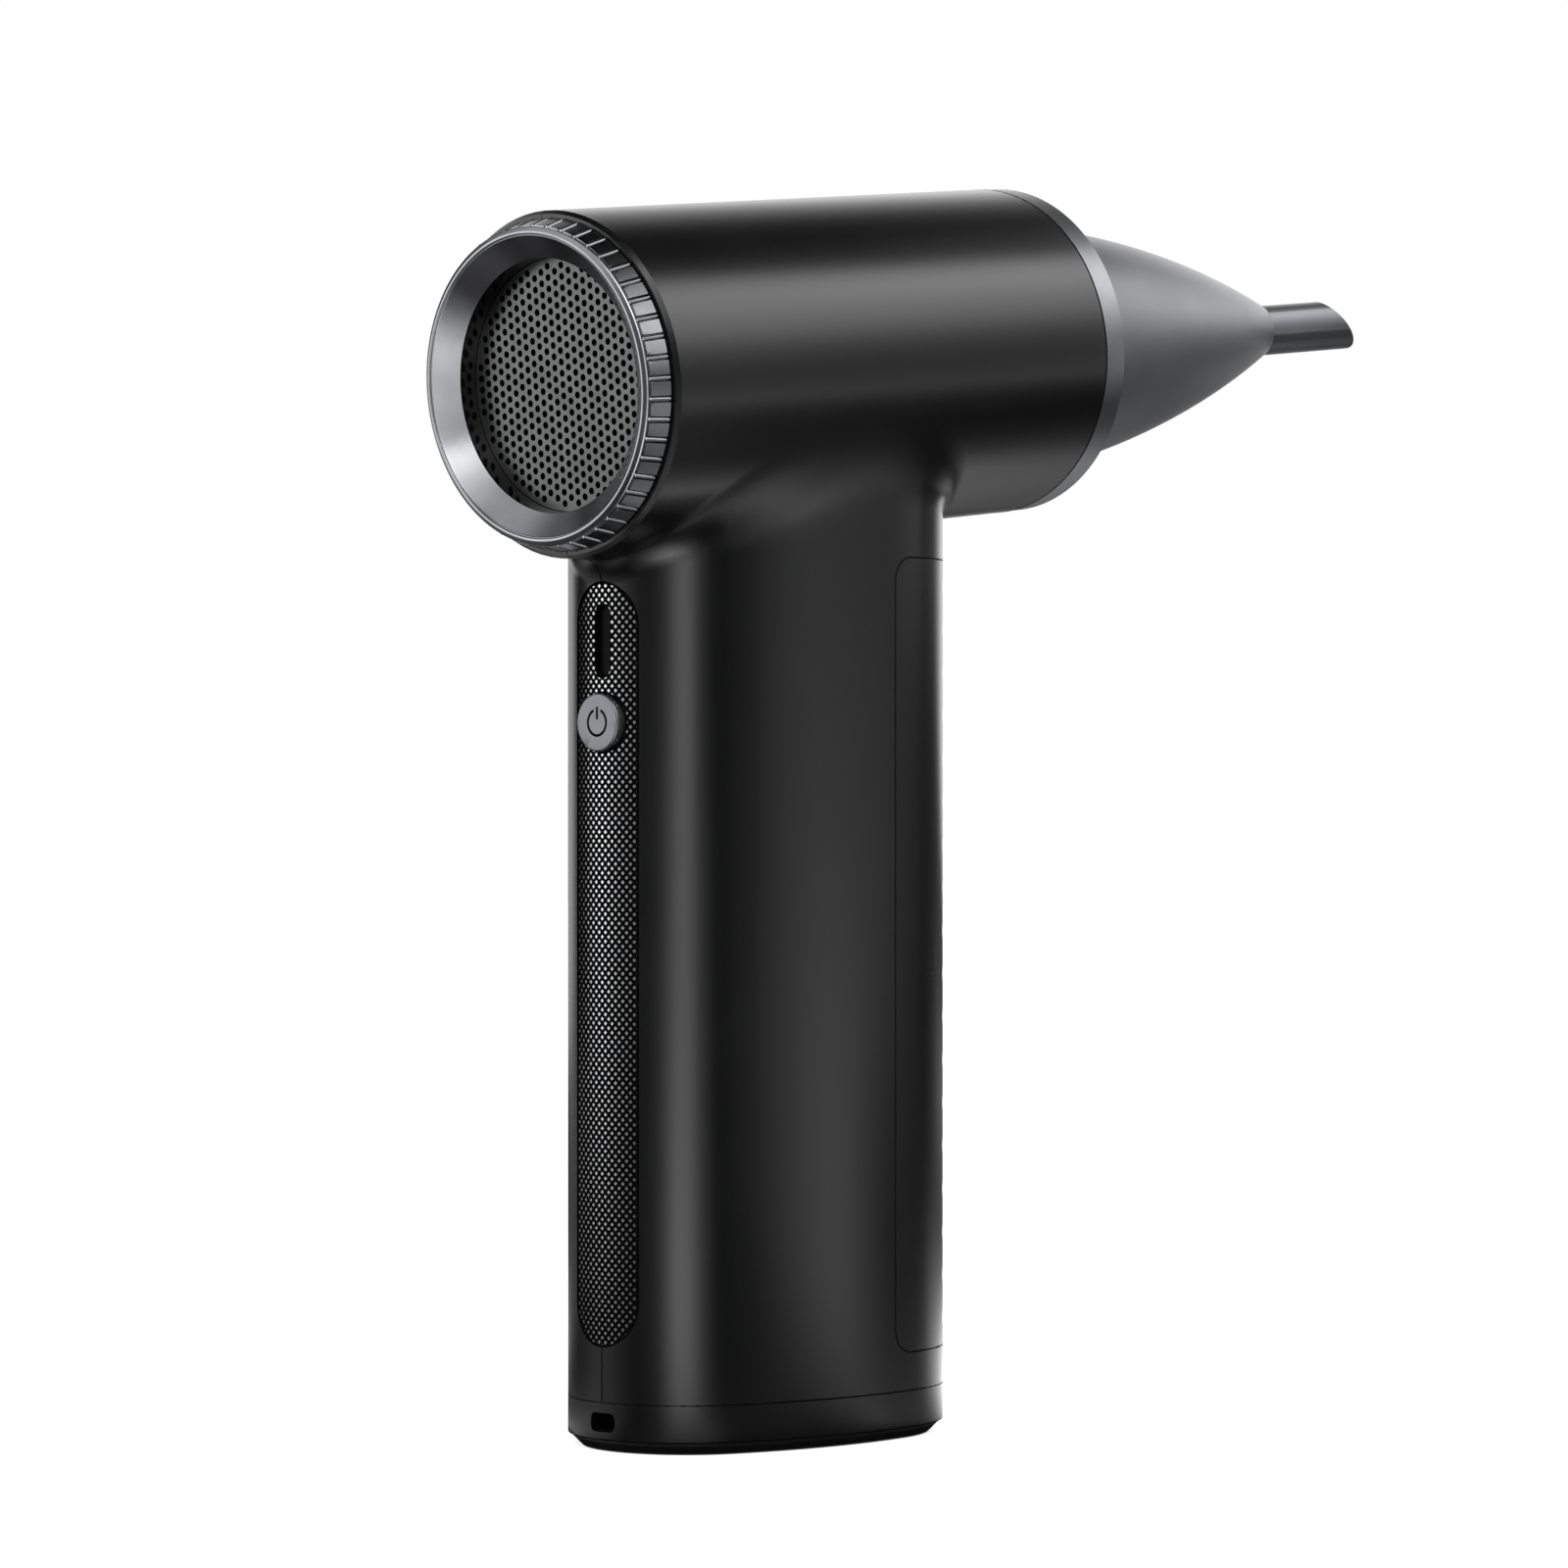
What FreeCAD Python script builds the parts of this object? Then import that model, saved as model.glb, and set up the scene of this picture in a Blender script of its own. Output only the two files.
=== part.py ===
import FreeCAD, Part
import math
import os
from FreeCAD import Placement, Rotation, Vector

# Hand-held car dryer blower. Sizes are in millimetres.
# X runs forward to the nozzle, Y to the left and Z up.
# The origin lies on the table, under the middle of the handle.

# Clearances
FIT_GAP = 0.1
RUNNING_GAP = 0.08
MOVING_GAP = 0.3
SEAM_GAP = 0.15
PRESS_GAP = 0.025

# How far a cutting tool runs past the face that it cuts
PAST = 1.0

# Barrel: a tube that tilts nose-up, measured from its rear edge
BARREL_RADIUS = 28.0
BARREL_WALL = 2.0
BARREL_LENGTH = 102.7
BARREL_TILT = 6.0
BARREL_REAR_X = -45.0
BARREL_REAR_Z = 172.5
REAR_CHAMFER_LENGTH = 0.8
REAR_CHAMFER_DEPTH = 0.55

# Handle: an upright oval prism made of two noses and two long side arcs
HANDLE_REAR_X = -35.2
HANDLE_DEPTH = 70.7
REAR_NOSE_RADIUS = 19.7
FRONT_NOSE_RADIUS = 23.0
SIDE_RADIUS = 77.6
HANDLE_WALL = 2.4
HANDLE_TOP_RISE = 2.0
NOSE_MIDDLE_SHARE = 0.3

# Blend between handle and barrel: tight at front and rear, wide on the flanks
BLEND_AT_NOSES = 4.5
BLEND_AT_REAR_TANGENT = 20.0
BLEND_AT_FRONT_TANGENT = 40.0
BLEND_AT_FLANK = 45.0

# Base cap and foot pad
FOOT_INSET = 0.8
FOOT_THICKNESS = 2.5
FOOT_RECESS = 0.5
FOOT_EDGE = 1.6
CAP_HEIGHT = 6.25
CAP_FLOOR = 0.8
CAP_EDGE_RADIUS = 0.3
CAP_LIP_HEIGHT = 4.0
CAP_LIP_WALL = 1.5
CAP_LIP_LENGTH = 26.0
CAP_LIP_X = 2.0

# Charging socket and its board
PORT_WIDTH = 5.3
PORT_HEIGHT = 3.0
PORT_CORNER = 1.1
PORT_SINK = 1.0
SOCKET_LENGTH = 7.0
SOCKET_WALL = 0.3
SOCKET_BACK = 1.0
TONGUE_THICKNESS = 0.6
TONGUE_SINK = 2.2
CHARGE_BOARD_LENGTH = 34.0
CHARGE_BOARD_WIDTH = 14.0
BOARD_THICKNESS = 1.0
POST_RADIUS = 1.6

# Screws
SCREW_RADIUS = 1.25
SCREW_HEAD_RADIUS = 2.3
SCREW_HEAD_HEIGHT = 1.7
BOSS_RADIUS = 3.2
BOSS_WEB = 2.0
BASE_SCREW_LENGTH = 7.2
BASE_SCREW_PLACES = [(22.0, 13.0), (-22.0, 11.0)]
CASE_SCREW_LENGTH = 13.0
CASE_SCREW_GRIP = 4.5
CASE_SCREW_X = 24.0
CASE_SCREW_HEIGHTS = [26.5, 64.5, 102.5, 136.5]

# Front grip insert with shallow finger waves
GRIP_EDGE_X = 9.5
GRIP_BOTTOM = 14.5
GRIP_TOP = 145.8
GRIP_CORNER = 4.0
GRIP_THICKNESS = 1.4
WAVE_COUNT = 18
WAVE_PITCH = 7.2
WAVE_DEPTH = 0.55
WAVE_FADE = 1.47

# Rear strip with its window and button
STRIP_WIDTH = 14.2
STRIP_BOTTOM = 17.2
STRIP_TOP = 141.1
STRIP_SINK = 0.3
STRIP_THICKNESS = 1.2
WINDOW_WIDTH = 2.9
WINDOW_BOTTOM = 125.7
WINDOW_TOP = 137.4
WINDOW_SINK = 1.1
WINDOW_LIP = 0.8
WINDOW_LIP_THICKNESS = 0.8
BUTTON_RADIUS = 4.75
BUTTON_Z = 118.3
BUTTON_PROUD = 1.1
BUTTON_EDGE = 0.35
BUTTON_GAP = 0.15
BUTTON_FLANGE = 1.1
BUTTON_FLANGE_THICKNESS = 0.8
BUTTON_TRAVEL = 0.5
ICON_RADIUS = 2.1
ICON_LINE = 0.32
ICON_DEPTH = 0.2
ICON_OPENING = 44.0

# Control board and what it carries
CONTROL_BOARD_X = -25.9
CONTROL_BOARD_THICKNESS = 1.6
CONTROL_BOARD_WIDTH = 25.0
CONTROL_BOARD_BOTTOM = 92.5
CONTROL_BOARD_TOP = 140.5
RAIL_GRIP = 1.0
RAIL_WALL = 1.6
SWITCH_SIZE = 6.0
SWITCH_HEIGHT = 2.5
PLUNGER_RADIUS = 1.6
LAMP_COUNT = 4
LAMP_SIZE = 1.6
LAMP_HEIGHT = 0.8
TRANSISTOR_COUNT = 6
TRANSISTOR_SIZE = 5.0
TRANSISTOR_HEIGHT = 1.2
TRANSISTOR_PITCH_ALONG = 6.5
TRANSISTOR_PITCH_ACROSS = 7.8
TRANSISTOR_START = 5.2
CAPACITOR_RADIUS = 5.0
CAPACITOR_HEIGHT = 14.0
CAPACITOR_EDGE = 0.6
CAPACITOR_DROP = 22.0
CONNECTOR_SIZE = 7.0
CONNECTOR_DROP = 7.0

# Battery pack: four cells, two by two
CELL_RADIUS = 9.2
CELL_LENGTH = 65.2
CELL_GAP = 0.3
CELLS_X = -12.4
CELL_EDGE = 0.8
HOLDER_FLOOR = 2.0
HOLDER_GRIP = 1.7
HOLDER_BORE_GAP = 0.1
STRAP_THICKNESS = 0.3
STRAP_WIDTH = 8.0

# Speed ring on the air inlet
RING_REACH = 5.5
FUNNEL_DEPTH = 3.2
FUNNEL_SPREAD = 3.7
RIM_WIDTH = 0.7
SHOULDER_LENGTH = 0.55
KNURL_INSET = 0.7
KNURL_TAPER = 1.15
KNURL_NOTCH = 0.35
KNURL_DEPTH = 0.45
RIB_COUNT = 50
RIB_RADIUS = 0.38
RIB_GROOVE_WIDTH = 1.0
RIB_PROUD = 0.12
SLEEVE_DROP = 1.4
SLEEVE_WALL = 2.1
SLEEVE_LENGTH = 6.3
SNAP_HEIGHT = 0.6
SNAP_LENGTH = 1.8
LIP_START = 2.0
LIP_LENGTH = 1.9

# Inlet frame, mesh and speed sensor
FRAME_WALL = 1.92
FRAME_FLANGE_START = 9.0
FRAME_FLANGE = 1.6
FRAME_LENGTH = 14.0
MESH_DEPTH = 3.4
MESH_THICKNESS = 0.5
MESH_LEDGE = 0.9
MESH_LEDGE_LENGTH = 1.2
MESH_HOLE_RADIUS = 0.58
MESH_PITCH = 1.82
MESH_RIM = 0.2
RIB_RING_HEIGHT = 1.8
RIB_RING_WIDTH = 1.0
MAGNET_SIZE = 2.4
MAGNET_DEPTH = 1.0
SENSOR_SIZE = 3.0
SENSOR_HEIGHT = 0.8

# Fan: shroud, impeller, brushless motor, rubber mounts
SHROUD_START = 18.0
SHROUD_LENGTH = 66.0
SHROUD_WALL = 2.0
MOUNT_THICKNESS = 3.4
MOUNT_LENGTH = 6.0
MOUNT_INSET = 3.0
BLADE_TIP_GAP = 0.5
IMPELLER_START = 24.0
IMPELLER_LENGTH = 18.0
IMPELLER_NOSE_RADIUS = 3.5
HUB_RADIUS = 12.6
BLADE_COUNT = 9
BLADE_THICKNESS = 1.1
BLADE_ANGLE = 38.0
CAN_RADIUS = 13.4
CAN_WALL = 1.2
CAN_LENGTH = 28.0
CAN_GAP = 1.0
CAN_END_WALL = 3.0
VANE_COUNT = 7
VANE_THICKNESS = 1.2
VANE_ANGLE = -18.0
TAIL_LENGTH = 13.0
TAIL_RADIUS = 3.0
SHAFT_RADIUS = 1.5
BEARING_RADIUS = 4.0
ROTOR_RADIUS = 6.6
ROTOR_LENGTH = 14.0
AIR_GAP = 0.5
STATOR_LENGTH = 14.0
STATOR_RING = 1.8
TOOTH_COUNT = 6
TOOTH_WIDTH = 2.4
COIL_WIDTH = 1.1

# Front trim ring and outlet duct
TRIM_LENGTH = 5.1
TRIM_INSET = 0.1
TRIM_EDGE = 0.5
TRIM_DISH = 0.6
TRIM_SLEEVE_LENGTH = 9.0
TRIM_SLEEVE_WALL = 2.9
DUCT_WALL = 2.4
DUCT_SHORT_OF_FRONT = 3.3

# Nozzle: spigot, curved cone, slant-cut tip tube, retaining ring and seal
SPIGOT_LENGTH = 14.0
SPIGOT_WALL = 1.5
NOZZLE_SHOULDER = 1.75
NOZZLE_BORE_GAP = 0.5
NOZZLE_REACH = 176.2
NOZZLE_END_RADIUS = 5.1
NOZZLE_BULGE = 2.65
NOZZLE_INNER_BULGE = 2.4
NECK_LENGTH = 9.0
TIP_RADIUS = 4.65
TIP_WALL = 0.65
TIP_TOP_REACH = 193.7
TIP_SLANT = 9.0
SNAP_RING_THICKNESS = 1.2
SNAP_RING_WIDTH = 1.2
SNAP_RING_OPENING = 4.0
SNAP_RING_BACK = 9.0
SEAL_RADIUS = 0.85
SEAL_BACK = 4.0
SEAL_GAP = 0.08

# Leads, with the share of a run that goes into each bend
MOTOR_LEAD_RADIUS = 0.9
MOTOR_LEAD_SPACING = 2.4
BATTERY_LEAD_RADIUS = 1.1
BEND_SHARE = 0.45
LEAD_HOLE_LENGTH = 11.0
LEAD_HOLE_WIDTH = 9.0

# Heights and places that follow from the sizes above
CAP_BOTTOM = FOOT_THICKNESS - FOOT_RECESS
BASE_SEAM = CAP_BOTTOM + CAP_HEIGHT
CAP_FLOOR_TOP = FOOT_THICKNESS + CAP_FLOOR
LIP_TOP = BASE_SEAM + CAP_LIP_HEIGHT
PORT_Z = CAP_FLOOR_TOP + FIT_GAP + PORT_HEIGHT / 2
BARREL_BORE = BARREL_RADIUS - BARREL_WALL
REAR_END_RADIUS = BARREL_RADIUS - REAR_CHAMFER_DEPTH
SLEEVE_OUT = BARREL_BORE - SLEEVE_DROP
SLEEVE_IN = SLEEVE_OUT - SLEEVE_WALL
FRAME_OUT = SLEEVE_IN - RUNNING_GAP
INLET_RADIUS = FRAME_OUT - FRAME_WALL
FUNNEL_END = FUNNEL_DEPTH - RING_REACH
MESH_START = FUNNEL_END + MESH_DEPTH
SHROUD_OUT = BARREL_BORE - MOUNT_THICKNESS
SHROUD_IN = SHROUD_OUT - SHROUD_WALL
CAN_START = IMPELLER_START + IMPELLER_LENGTH + CAN_GAP
TRIM_START = BARREL_LENGTH + SEAM_GAP
TRIM_END = TRIM_START + TRIM_LENGTH
TRIM_RADIUS = BARREL_RADIUS - TRIM_INSET
TRIM_SLEEVE_OUT = BARREL_BORE - FIT_GAP
TRIM_SLEEVE_IN = TRIM_SLEEVE_OUT - TRIM_SLEEVE_WALL
DUCT_OUT = TRIM_SLEEVE_IN - FIT_GAP
DUCT_IN = DUCT_OUT - DUCT_WALL
DUCT_END = TRIM_END - DUCT_SHORT_OF_FRONT
SPIGOT_OUT = DUCT_IN - MOVING_GAP
NOZZLE_BASE_RADIUS = SPIGOT_OUT + NOZZLE_SHOULDER
NOZZLE_START = DUCT_END + MOVING_GAP
TRIM_BORE = NOZZLE_BASE_RADIUS + NOZZLE_BORE_GAP
HOLDER_START = LIP_TOP + FIT_GAP
CELL_START = HOLDER_START + HOLDER_FLOOR + STRAP_THICKNESS
CELL_END = CELL_START + CELL_LENGTH
WALL_INSIDE_X = HANDLE_REAR_X + HANDLE_WALL
FAR = 300.0

BARREL_PLACE = Placement(
    Vector(BARREL_REAR_X, 0, BARREL_REAR_Z), Rotation(Vector(0, 1, 0), -BARREL_TILT)
)


def write(name, shape):
    """Writes one sub-part under its name."""
    shape.exportStep("parts/" + name + ".step")


def in_barrel(shape):
    """Moves a shape drawn along +X from the barrel's rear edge into place."""
    shape.Placement = BARREL_PLACE.multiply(shape.Placement)
    return shape


def box(x0, x1, y0, y1, z0, z1):
    """Block between two corners."""
    return Part.makeBox(x1 - x0, y1 - y0, z1 - z0, Vector(x0, y0, z0))


def rod(x0, x1, radius, y=0.0, z=0.0):
    """Round bar along X."""
    return Part.makeCylinder(radius, x1 - x0, Vector(x0, y, z), Vector(1, 0, 0))


def tube(x0, x1, inner, outer):
    """Round tube along X."""
    return rod(x0, x1, outer).cut(rod(x0, x1, inner))


def upright(z0, z1, radius, x, y):
    """Round bar along Z."""
    return Part.makeCylinder(radius, z1 - z0, Vector(x, y, z0))


def crosswise(y0, y1, radius, x, z):
    """Round bar along Y."""
    return Part.makeCylinder(radius, y1 - y0, Vector(x, y0, z), Vector(0, 1, 0))


def turned(points):
    """Solid of revolution about X from a profile of places along X and radii."""
    outline = Part.makePolygon([Vector(x, 0, r) for x, r in points + points[:1]])
    return Part.Face(outline).revolve(Vector(0, 0, 0), Vector(1, 0, 0), 360)


def bulged_arc(start, end, bulge):
    """Arc in the XZ plane whose middle stands off its chord by the bulge."""
    along = end.sub(start)
    outward = Vector(-along.z, 0, along.x).normalize()
    middle = start.add(end).multiply(0.5).add(outward.multiply(bulge))
    return Part.Arc(start, middle, end).toShape()


def group(solids):
    """Separate solids kept together under one name."""
    return Part.makeCompound(solids)


def joined(first, others):
    """One solid out of pieces that meet."""
    return first.fuse(others).removeSplitter()


def half_turn_pair(places):
    """The places given for the left side, with their mirror places on the right."""
    return [(x, side * y) for x, y in places for side in (1, -1)]


def handle_corners(z, inset):
    """Points of the handle's left outline, rear to front, that its arcs run through."""
    rear_x = HANDLE_REAR_X + REAR_NOSE_RADIUS
    front_x = HANDLE_REAR_X + HANDLE_DEPTH - FRONT_NOSE_RADIUS
    rear_reach = SIDE_RADIUS - REAR_NOSE_RADIUS
    front_reach = SIDE_RADIUS - FRONT_NOSE_RADIUS
    side_x = (rear_reach**2 - front_reach**2 - rear_x**2 + front_x**2) / (2 * (front_x - rear_x))
    side_y = -math.sqrt(rear_reach**2 - (side_x - rear_x) ** 2)
    rear_end = math.atan2(-side_y, rear_x - side_x)
    front_end = math.atan2(-side_y, front_x - side_x)

    def at(center_x, center_y, radius, angle):
        reach = radius - inset
        return Vector(center_x + reach * math.cos(angle), center_y + reach * math.sin(angle), z)

    rear = [at(rear_x, 0, REAR_NOSE_RADIUS, a)
            for a in spread(math.pi, rear_end, NOSE_MIDDLE_SHARE)]
    side = [at(side_x, side_y, SIDE_RADIUS, a)
            for a in spread(rear_end, math.pi / 2, 0) + spread(math.pi / 2, front_end, 0)]
    front = [at(front_x, 0, FRONT_NOSE_RADIUS, a)
             for a in spread(0, front_end, NOSE_MIDDLE_SHARE)[::-1]]
    return rear + side[1:3] + side[4:] + front[1:]


def spread(start, end, share):
    """The start, a place at a share of the way, the middle of the rest, and the end."""
    split = start + share * (end - start)
    return [start, split, (split + end) / 2, end] if share else [start, (start + end) / 2, end]


def handle_outline(z, inset):
    """Closed oval of tangent arcs at a height, moved inward by the inset."""
    left = handle_corners(z, inset)
    right = [Vector(p.x, -p.y, p.z) for p in left]
    starts = range(1, len(left) - 2, 2)
    arcs = [(right[1], left[0], left[1])]
    arcs += [(left[k], left[k + 1], left[k + 2]) for k in starts]
    arcs += [(left[-2], left[-1], right[-2])]
    arcs += [(right[k + 2], right[k + 1], right[k]) for k in starts[::-1]]
    return Part.Wire([Part.Arc(*arc).toShape() for arc in arcs])


def handle_prism(z0, z1, inset=0.0):
    """Upright solid with the handle's oval section."""
    return Part.Face(handle_outline(z0, inset)).extrude(Vector(0, 0, z1 - z0))


def rounded_block(x0, x1, y0, y1, z0, z1, radius, along):
    """Block whose four edges along one direction are rounded."""
    block = box(x0, x1, y0, y1, z0, z1)
    edges = [e for e in block.Edges if abs(e.tangentAt(e.FirstParameter).dot(along)) > 0.99]
    return block.makeFillet(radius, edges)


def stadium(x0, x1, width, z0, z1):
    """Upright slot shape with round ends, drawn through X."""
    radius = width / 2
    middle = box(x0, x1, -radius, radius, z0 + radius, z1 - radius)
    ends = [rod(x0, x1, radius, 0, z0 + radius), rod(x0, x1, radius, 0, z1 - radius)]
    return joined(middle, ends)


def case_outer():
    """Barrel and handle in one outer form, with the soft blend between them."""
    top = BARREL_REAR_Z + HANDLE_TOP_RISE
    profile = [
        (-REAR_CHAMFER_LENGTH, 0),
        (-REAR_CHAMFER_LENGTH, REAR_END_RADIUS),
        (0, BARREL_RADIUS),
        (BARREL_LENGTH, BARREL_RADIUS),
        (BARREL_LENGTH, 0),
    ]
    body = in_barrel(turned(profile)).fuse(handle_prism(BASE_SEAM, top))
    return blended(body)


def on_barrel_skin(point):
    """True where a point lies on the barrel's round skin."""
    local = BARREL_PLACE.inverse().multVec(point)
    near = abs(math.hypot(local.y, local.z) - BARREL_RADIUS) < FIT_GAP
    return near and PAST < local.x < BARREL_LENGTH - PAST


def blend_radius(point):
    """Blend radius wanted at a point of the line where handle and barrel meet."""
    corners = handle_corners(0, 0)
    wanted = [
        (corners[1].y, BLEND_AT_NOSES),
        (corners[3].y, BLEND_AT_REAR_TANGENT),
        (corners[5].y, BLEND_AT_FLANK),
        (corners[7].y, BLEND_AT_FRONT_TANGENT),
        (corners[9].y, BLEND_AT_NOSES),
    ]
    return min(wanted, key=lambda pair: abs(pair[0] - abs(point.y)))[1]


def blended(body):
    """Rounds the meeting line with a radius that changes along it."""
    lines = []
    for number, edge in enumerate(body.Edges, 1):
        first, last = edge.ParameterRange
        points = [edge.valueAt(first + (last - first) * k / 4) for k in range(5)]
        if all(on_barrel_skin(p) for p in points) and len(edge.Vertexes) == 2:
            ends = [points[0], points[-1]]
            # every line's radii are listed clockwise round the handle
            if ends[0].cross(ends[1]).z > 0:
                ends.reverse()
            lines.append((number, blend_radius(ends[0]), blend_radius(ends[1])))
    document = FreeCAD.newDocument("blend")
    plain = document.addObject("Part::Feature", "plain")
    plain.Shape = body
    fillet = document.addObject("Part::Fillet", "fillet")
    fillet.Base = plain
    fillet.Edges = lines
    document.recompute()
    shape = fillet.Shape.copy()
    FreeCAD.closeDocument(document.Name)
    return shape.Solids[0]


def case_cavity():
    """Hollow of the barrel and of the handle, with the lead hole between them."""
    bore = in_barrel(rod(-FAR, FAR, BARREL_BORE))
    top = BARREL_REAR_Z + HANDLE_TOP_RISE
    handle = handle_prism(BASE_SEAM - PAST, top, HANDLE_WALL)
    handle = handle.cut(in_barrel(rod(-FAR, FAR, BARREL_RADIUS)))
    handle = max(handle.Solids, key=lambda solid: solid.Volume)
    half = LEAD_HOLE_WIDTH / 2
    x0 = lead_hole_x() - LEAD_HOLE_LENGTH / 2
    lead_hole = box(x0, x0 + LEAD_HOLE_LENGTH, -half, half, GRIP_TOP - GRIP_CORNER, BARREL_REAR_Z)
    return [bore, handle, lead_hole]


def lead_hole_x():
    """Place of the lead hole, between the two rubber mounts."""
    return BARREL_REAR_X + SHROUD_START + SHROUD_LENGTH / 2


def barrel_ribs():
    """Rings inside the barrel that hold the speed ring and the inlet frame."""
    lip_in = SLEEVE_OUT + MOVING_GAP
    lip = tube(LIP_START, LIP_START + LIP_LENGTH, lip_in, BARREL_RADIUS - BARREL_WALL / 2)
    rib_in = BARREL_BORE - RIB_RING_HEIGHT
    rib_out = BARREL_RADIUS - BARREL_WALL / 2
    front = FRAME_FLANGE_START + FRAME_FLANGE + FIT_GAP
    rear = FRAME_FLANGE_START - FIT_GAP - RIB_RING_WIDTH
    rear_rib = tube(rear, rear + RIB_RING_WIDTH, SLEEVE_OUT + MOVING_GAP, rib_out)
    front_rib = tube(front, front + RIB_RING_WIDTH, rib_in, rib_out)
    return [in_barrel(shape) for shape in (lip, rear_rib, front_rib)]


def case_bosses(outer):
    """Screw towers for the case screws and the base screws."""
    inner = outer.common(handle_prism(BASE_SEAM, BARREL_REAR_Z, HANDLE_WALL / 2))
    bosses = []
    for z in CASE_SCREW_HEIGHTS:
        bosses.append(crosswise(-FAR, FAR, BOSS_RADIUS, CASE_SCREW_X, z).common(inner))
    for x, y in half_turn_pair(BASE_SCREW_PLACES):
        side = math.copysign(1, y)
        tower = upright(BASE_SEAM, LIP_TOP, BOSS_RADIUS, x, y)
        web = box(x - BOSS_WEB / 2, x + BOSS_WEB / 2, *sorted((y, side * BARREL_RADIUS)),
                  BASE_SEAM, LIP_TOP)
        bosses.append(tower.fuse(web).common(inner))
    return bosses


def board_rails(outer):
    """Grooved ribs that grip both long edges of the control board."""
    inner = outer.common(handle_prism(BASE_SEAM, BARREL_REAR_Z, HANDLE_WALL / 2))
    edge = CONTROL_BOARD_WIDTH / 2
    x0 = CONTROL_BOARD_X - RAIL_WALL
    x1 = CONTROL_BOARD_X + CONTROL_BOARD_THICKNESS + RAIL_WALL
    z0 = CONTROL_BOARD_BOTTOM - RAIL_WALL
    rails = []
    for side in (1, -1):
        ys = sorted((side * (edge - RAIL_GRIP), side * BARREL_RADIUS))
        rails.append(box(x0, x1, *ys, z0, CONTROL_BOARD_TOP).common(inner))
    return rails


def control_board_space():
    """Room that the control board takes in its rails."""
    edge = CONTROL_BOARD_WIDTH / 2 + FIT_GAP
    x1 = CONTROL_BOARD_X + CONTROL_BOARD_THICKNESS
    return box(CONTROL_BOARD_X - FIT_GAP, x1 + FIT_GAP, -edge, edge,
               CONTROL_BOARD_BOTTOM - FIT_GAP, CONTROL_BOARD_TOP + FIT_GAP)


def screw_holes():
    """Pilot holes, clearance holes and head wells of all the case's screws."""
    holes = []
    tip_y = CASE_SCREW_LENGTH - CASE_SCREW_GRIP - SCREW_HEAD_HEIGHT + MOVING_GAP
    for z in CASE_SCREW_HEIGHTS:
        holes.append(crosswise(-FAR, tip_y, SCREW_RADIUS, CASE_SCREW_X, z))
        well = crosswise(-FAR, -CASE_SCREW_GRIP, SCREW_HEAD_RADIUS + MOVING_GAP, CASE_SCREW_X, z)
        holes.append(well)
    for x, y in half_turn_pair(BASE_SCREW_PLACES):
        holes.append(upright(BASE_SEAM - PAST, LIP_TOP + PAST, SCREW_RADIUS, x, y))
    return holes


def strip_well():
    """Shallow recess in the handle's rear face for the textured strip."""
    well = stadium(HANDLE_REAR_X - PAST, HANDLE_REAR_X + REAR_NOSE_RADIUS,
                   STRIP_WIDTH + 2 * FIT_GAP, STRIP_BOTTOM - FIT_GAP, STRIP_TOP + FIT_GAP)
    floor = STRIP_SINK + STRIP_THICKNESS + FIT_GAP
    return well.cut(handle_prism(0, BARREL_REAR_Z, floor))


def window_hole(gap):
    """Slot through the rear wall for the indicator window."""
    return stadium(HANDLE_REAR_X - PAST, WALL_INSIDE_X + PAST, WINDOW_WIDTH + 2 * gap,
                   WINDOW_BOTTOM - gap, WINDOW_TOP + gap)


def button_hole():
    """Round hole through the rear wall for the power button."""
    return rod(HANDLE_REAR_X - PAST, inner_wall_x(BUTTON_RADIUS) + PAST,
               BUTTON_RADIUS + BUTTON_GAP, 0, BUTTON_Z)


def grip_region(gap):
    """Rounded side view of the grip insert, drawn right through the handle."""
    return rounded_block(GRIP_EDGE_X - gap, FAR, -FAR, FAR, GRIP_BOTTOM - gap,
                         GRIP_TOP + gap, GRIP_CORNER, Vector(0, 1, 0))


def grip_well():
    """Recess that wraps round the handle's front for the grip insert."""
    return grip_region(FIT_GAP).cut(handle_prism(0, BARREL_REAR_Z, GRIP_THICKNESS + FIT_GAP))


def make_case():
    """Left and right case halves, split on the middle plane."""
    outer = case_outer()
    body = outer.cut(case_cavity())
    body = body.fuse(barrel_ribs() + case_bosses(outer) + board_rails(outer))
    tools = [control_board_space(), strip_well(), window_hole(FIT_GAP), button_hole(), grip_well()]
    body = body.cut(tools + screw_holes())
    near = SEAM_GAP / 2
    left = body.common(box(-FAR, FAR, near, FAR, -FAR, FAR))
    right = body.common(box(-FAR, FAR, -FAR, -near, -FAR, FAR))
    for name, half in (("housing_left", left), ("housing_right", right)):
        write(name, max(half.Solids, key=lambda solid: solid.Volume))


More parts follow.
